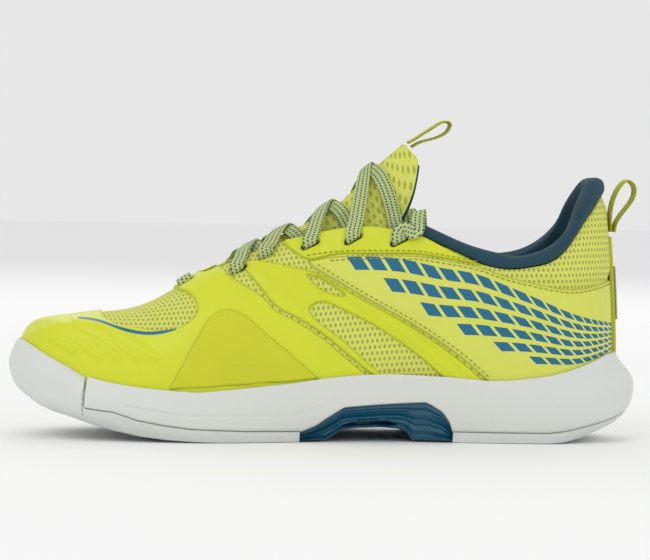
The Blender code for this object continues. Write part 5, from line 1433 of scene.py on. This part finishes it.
class SHOE_OT_collar(bpy.types.Operator):
    """Padded collar lining, rolled over the top edge"""

    bl_idname = "shoe.collar"
    bl_label = "Collar"

    def execute(self, context):
        t = np.append(np.arange(8.45, HEEL, 0.05), HEEL)
        edge = np.interp(t, *COLLAR_PLACES.T)
        top = np.maximum(np.interp(t, *CROWN_PLACES.T), edge + 0.04)
        deep = COLLAR_LINING_OUT - LINING_THICKNESS
        rows = [(edge + 0.004, -0.9), (edge * 0.7 + top * 0.3, 0.5), (edge * 0.3 + top * 0.7, 0.6)]
        rows += [(top * 0.97 + edge * 0.03, -0.8), (top + 0.006, -3.2), (top, deep + 2.2)]
        rows += [(edge * 0.4 + top * 0.6, deep - 0.5), (edge - 0.05, deep)]
        rows += [((edge - 0.05) * k, deep) for k in (0.66, 0.33, 0)]
        key = np.arange(len(rows))
        q = np.linspace(0, key[-1], 64)
        th = natural_spline(key, np.stack([r[0] for r in rows]))(q).T
        offset = np.clip(natural_spline(key, np.stack([r[1] + 0 * t for r in rows]))(q).T, deep - 0.8, 0.9)
        th = np.maximum(th, 0)
        wide = np.broadcast_to(t[:, None], th.shape)
        grid = np.concatenate([skin(wide, th, MEDIAL, offset), skin(wide, th, LATERAL, offset)[::-1]])
        out = np.concatenate([normal(wide, th, MEDIAL), normal(wide, th, LATERAL)[::-1]])
        faces = turned(grid[:, :20], quads(*grid.shape[:2]), out[:, :20])
        obj = put("collar_roll", grid, faces, "shoe", "lining_fabric", "lining", arc_uv(grid), None,
                  ["collar_lining", "collar_foam"])
        walls(obj, LINING_THICKNESS)
        return {"FINISHED"}


class SHOE_OT_tongue(bpy.types.Operator):
    """Knit face and padded lining of the tongue"""

    bl_idname = "shoe.tongue"
    bl_label = "Tongue"

    def execute(self, context):
        edge = np.asarray(TONGUE_EDGE)
        key = np.linspace(0, 1, len(edge))
        s = np.linspace(0, 1, 110)
        edge_t, edge_th = natural_spline(key, edge)(s).T
        centre_t = natural_spline(np.linspace(0, 1, len(TONGUE_CENTRE)), np.array(TONGUE_CENTRE))(s)
        cross = np.linspace(0, 1, 40)
        faces_of = []
        for side, c in ((MEDIAL, cross[None, ::-1]), (LATERAL, cross[None, 1:])):
            t = centre_t[:, None] + (edge_t - centre_t)[:, None] * c**2
            th = pi / 2 - (pi / 2 - edge_th)[:, None] * c
            th = np.where(c < 1e-9, pi / 2, th)
            down = -normal(t, th, side) - np.array([0.0, 0.0, TONGUE_STACKING])
            down = down / np.linalg.norm(down, axis=-1, keepdims=True)
            faces_of.append((skin(t, th, side, tongue_offset(t, th)), down))
        face, down = [np.concatenate(pair, 1) for pair in zip(*faces_of)]
        columns, rows = face.shape[:2]
        across = np.abs(np.linspace(-1, 1, rows))[None]
        along = np.linspace(0, 1, columns)[:, None]
        rim = np.minimum((1 - across) * 22, np.minimum(along * 60, (1 - along) * 60))
        round_off = rounded(rim / 2.5)
        for name, low, high, slot, finish_name, nodes in (
                ("tongue_face", 0.0, 1.5, "mesh", "collar knit", ["tongue_shell"]),
                ("tongue_pad", 1.6, 7.0, "lining_fabric", "lining", ["tongue_foam", "tongue_lining"])):
            middle = (low + high) / 2
            half = (high - low) / 2
            outer = face + down * (middle - half * round_off)[..., None]
            inner = face + down * (middle + half * round_off)[..., None]
            cells = quads(columns, rows)
            points = np.concatenate([outer.reshape(-1, 3), inner.reshape(-1, 3)])
            back = cells[:, ::-1] + columns * rows
            uv = arc_uv(face).reshape(-1, 2)
            obj = put(name, points, np.concatenate([cells, back]), "tongue", slot, finish_name,
                      np.concatenate([uv, uv]), None, nodes)
            face_out(obj, 60)
        return {"FINISHED"}


class SHOE_OT_inside(bpy.types.Operator):
    """Insole, and finishes for the stiffeners and the board"""

    bl_idname = "shoe.inside"
    bl_label = "Insole and hidden layers"

    def execute(self, context):
        t = np.append(np.arange(0, HEEL, 0.08), HEEL)
        inset = -COLLAR_LINING_OUT + LINING_THICKNESS + 0.8
        medial, lateral = [plan_edge(t, side, 0 * t - inset) for side in (MEDIAL, LATERAL)]
        share = np.linspace(0, 1, 30)
        plan = lateral[:, None] * (1 - share[None, :, None]) + medial[:, None] * share[None, :, None]
        rim = rounded(np.minimum(share, 1 - share) / 0.05)[None]
        dish = 0.8 * np.sin(pi * share)[None]
        z = FLOOR_Z(t)[:, None]
        top = np.concatenate([plan, (z + 2.4 + (2.0 - dish * 0.6) * rim)[..., None]], -1)
        low = np.concatenate([plan, (z + 2.4 - 2.0 * rim)[..., None]], -1)
        rings = np.concatenate([top, low[:, -2:0:-1]], 1)
        loft("insole_foam", rings, "insole", "insole_fabric", "lining", ["insole"], 60)
        hidden = (("strobel_board", "board"), ("toe_puff", "stiffener"), ("heel_counter", "stiffener"))
        for node, finish_name in hidden:
            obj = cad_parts[node]
            obj.data.materials.clear()
            obj.data.materials.append(FINISHES[finish_name]())
        return {"FINISHED"}


class SHOE_PT_pieces(bpy.types.Panel):
    """Sizes, colours and the operators that make the pieces"""

    bl_idname = "SHOE_PT_pieces"
    bl_label = "Court shoe"
    bl_space_type = "VIEW_3D"
    bl_region_type = "UI"
    bl_category = "Court shoe"

    def draw(self, context):
        for group_of in (context.scene.shoe_sizes, context.scene.shoe_colours):
            for key in group_of.__class__.__annotations__:
                self.layout.prop(group_of, key)
        for operator in OPERATORS:
            self.layout.operator(operator.bl_idname)


OPERATORS = (SHOE_OT_stage, SHOE_OT_lace, SHOE_OT_sole, SHOE_OT_knit, SHOE_OT_films, SHOE_OT_stitches,
             SHOE_OT_heel, SHOE_OT_collar, SHOE_OT_tongue, SHOE_OT_inside)
CLASSES = (ShoeSizes, ShoeColours) + OPERATORS + (SHOE_PT_pieces,)


def register():
    """Adds the classes, and the sizes and colours of the scene."""
    for item in CLASSES:
        bpy.utils.register_class(item)
    bpy.types.Scene.shoe_sizes = PointerProperty(type=ShoeSizes)
    bpy.types.Scene.shoe_colours = PointerProperty(type=ShoeColours)


def unregister():
    """Takes away what register added."""
    del bpy.types.Scene.shoe_colours
    del bpy.types.Scene.shoe_sizes
    for item in reversed(CLASSES):
        bpy.utils.unregister_class(item)


def main():
    """Makes every piece."""
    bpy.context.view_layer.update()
    register()
    for operator in OPERATORS:
        getattr(bpy.ops.shoe, operator.bl_idname.split(".")[1])()


if __name__ == "__main__":
    main()
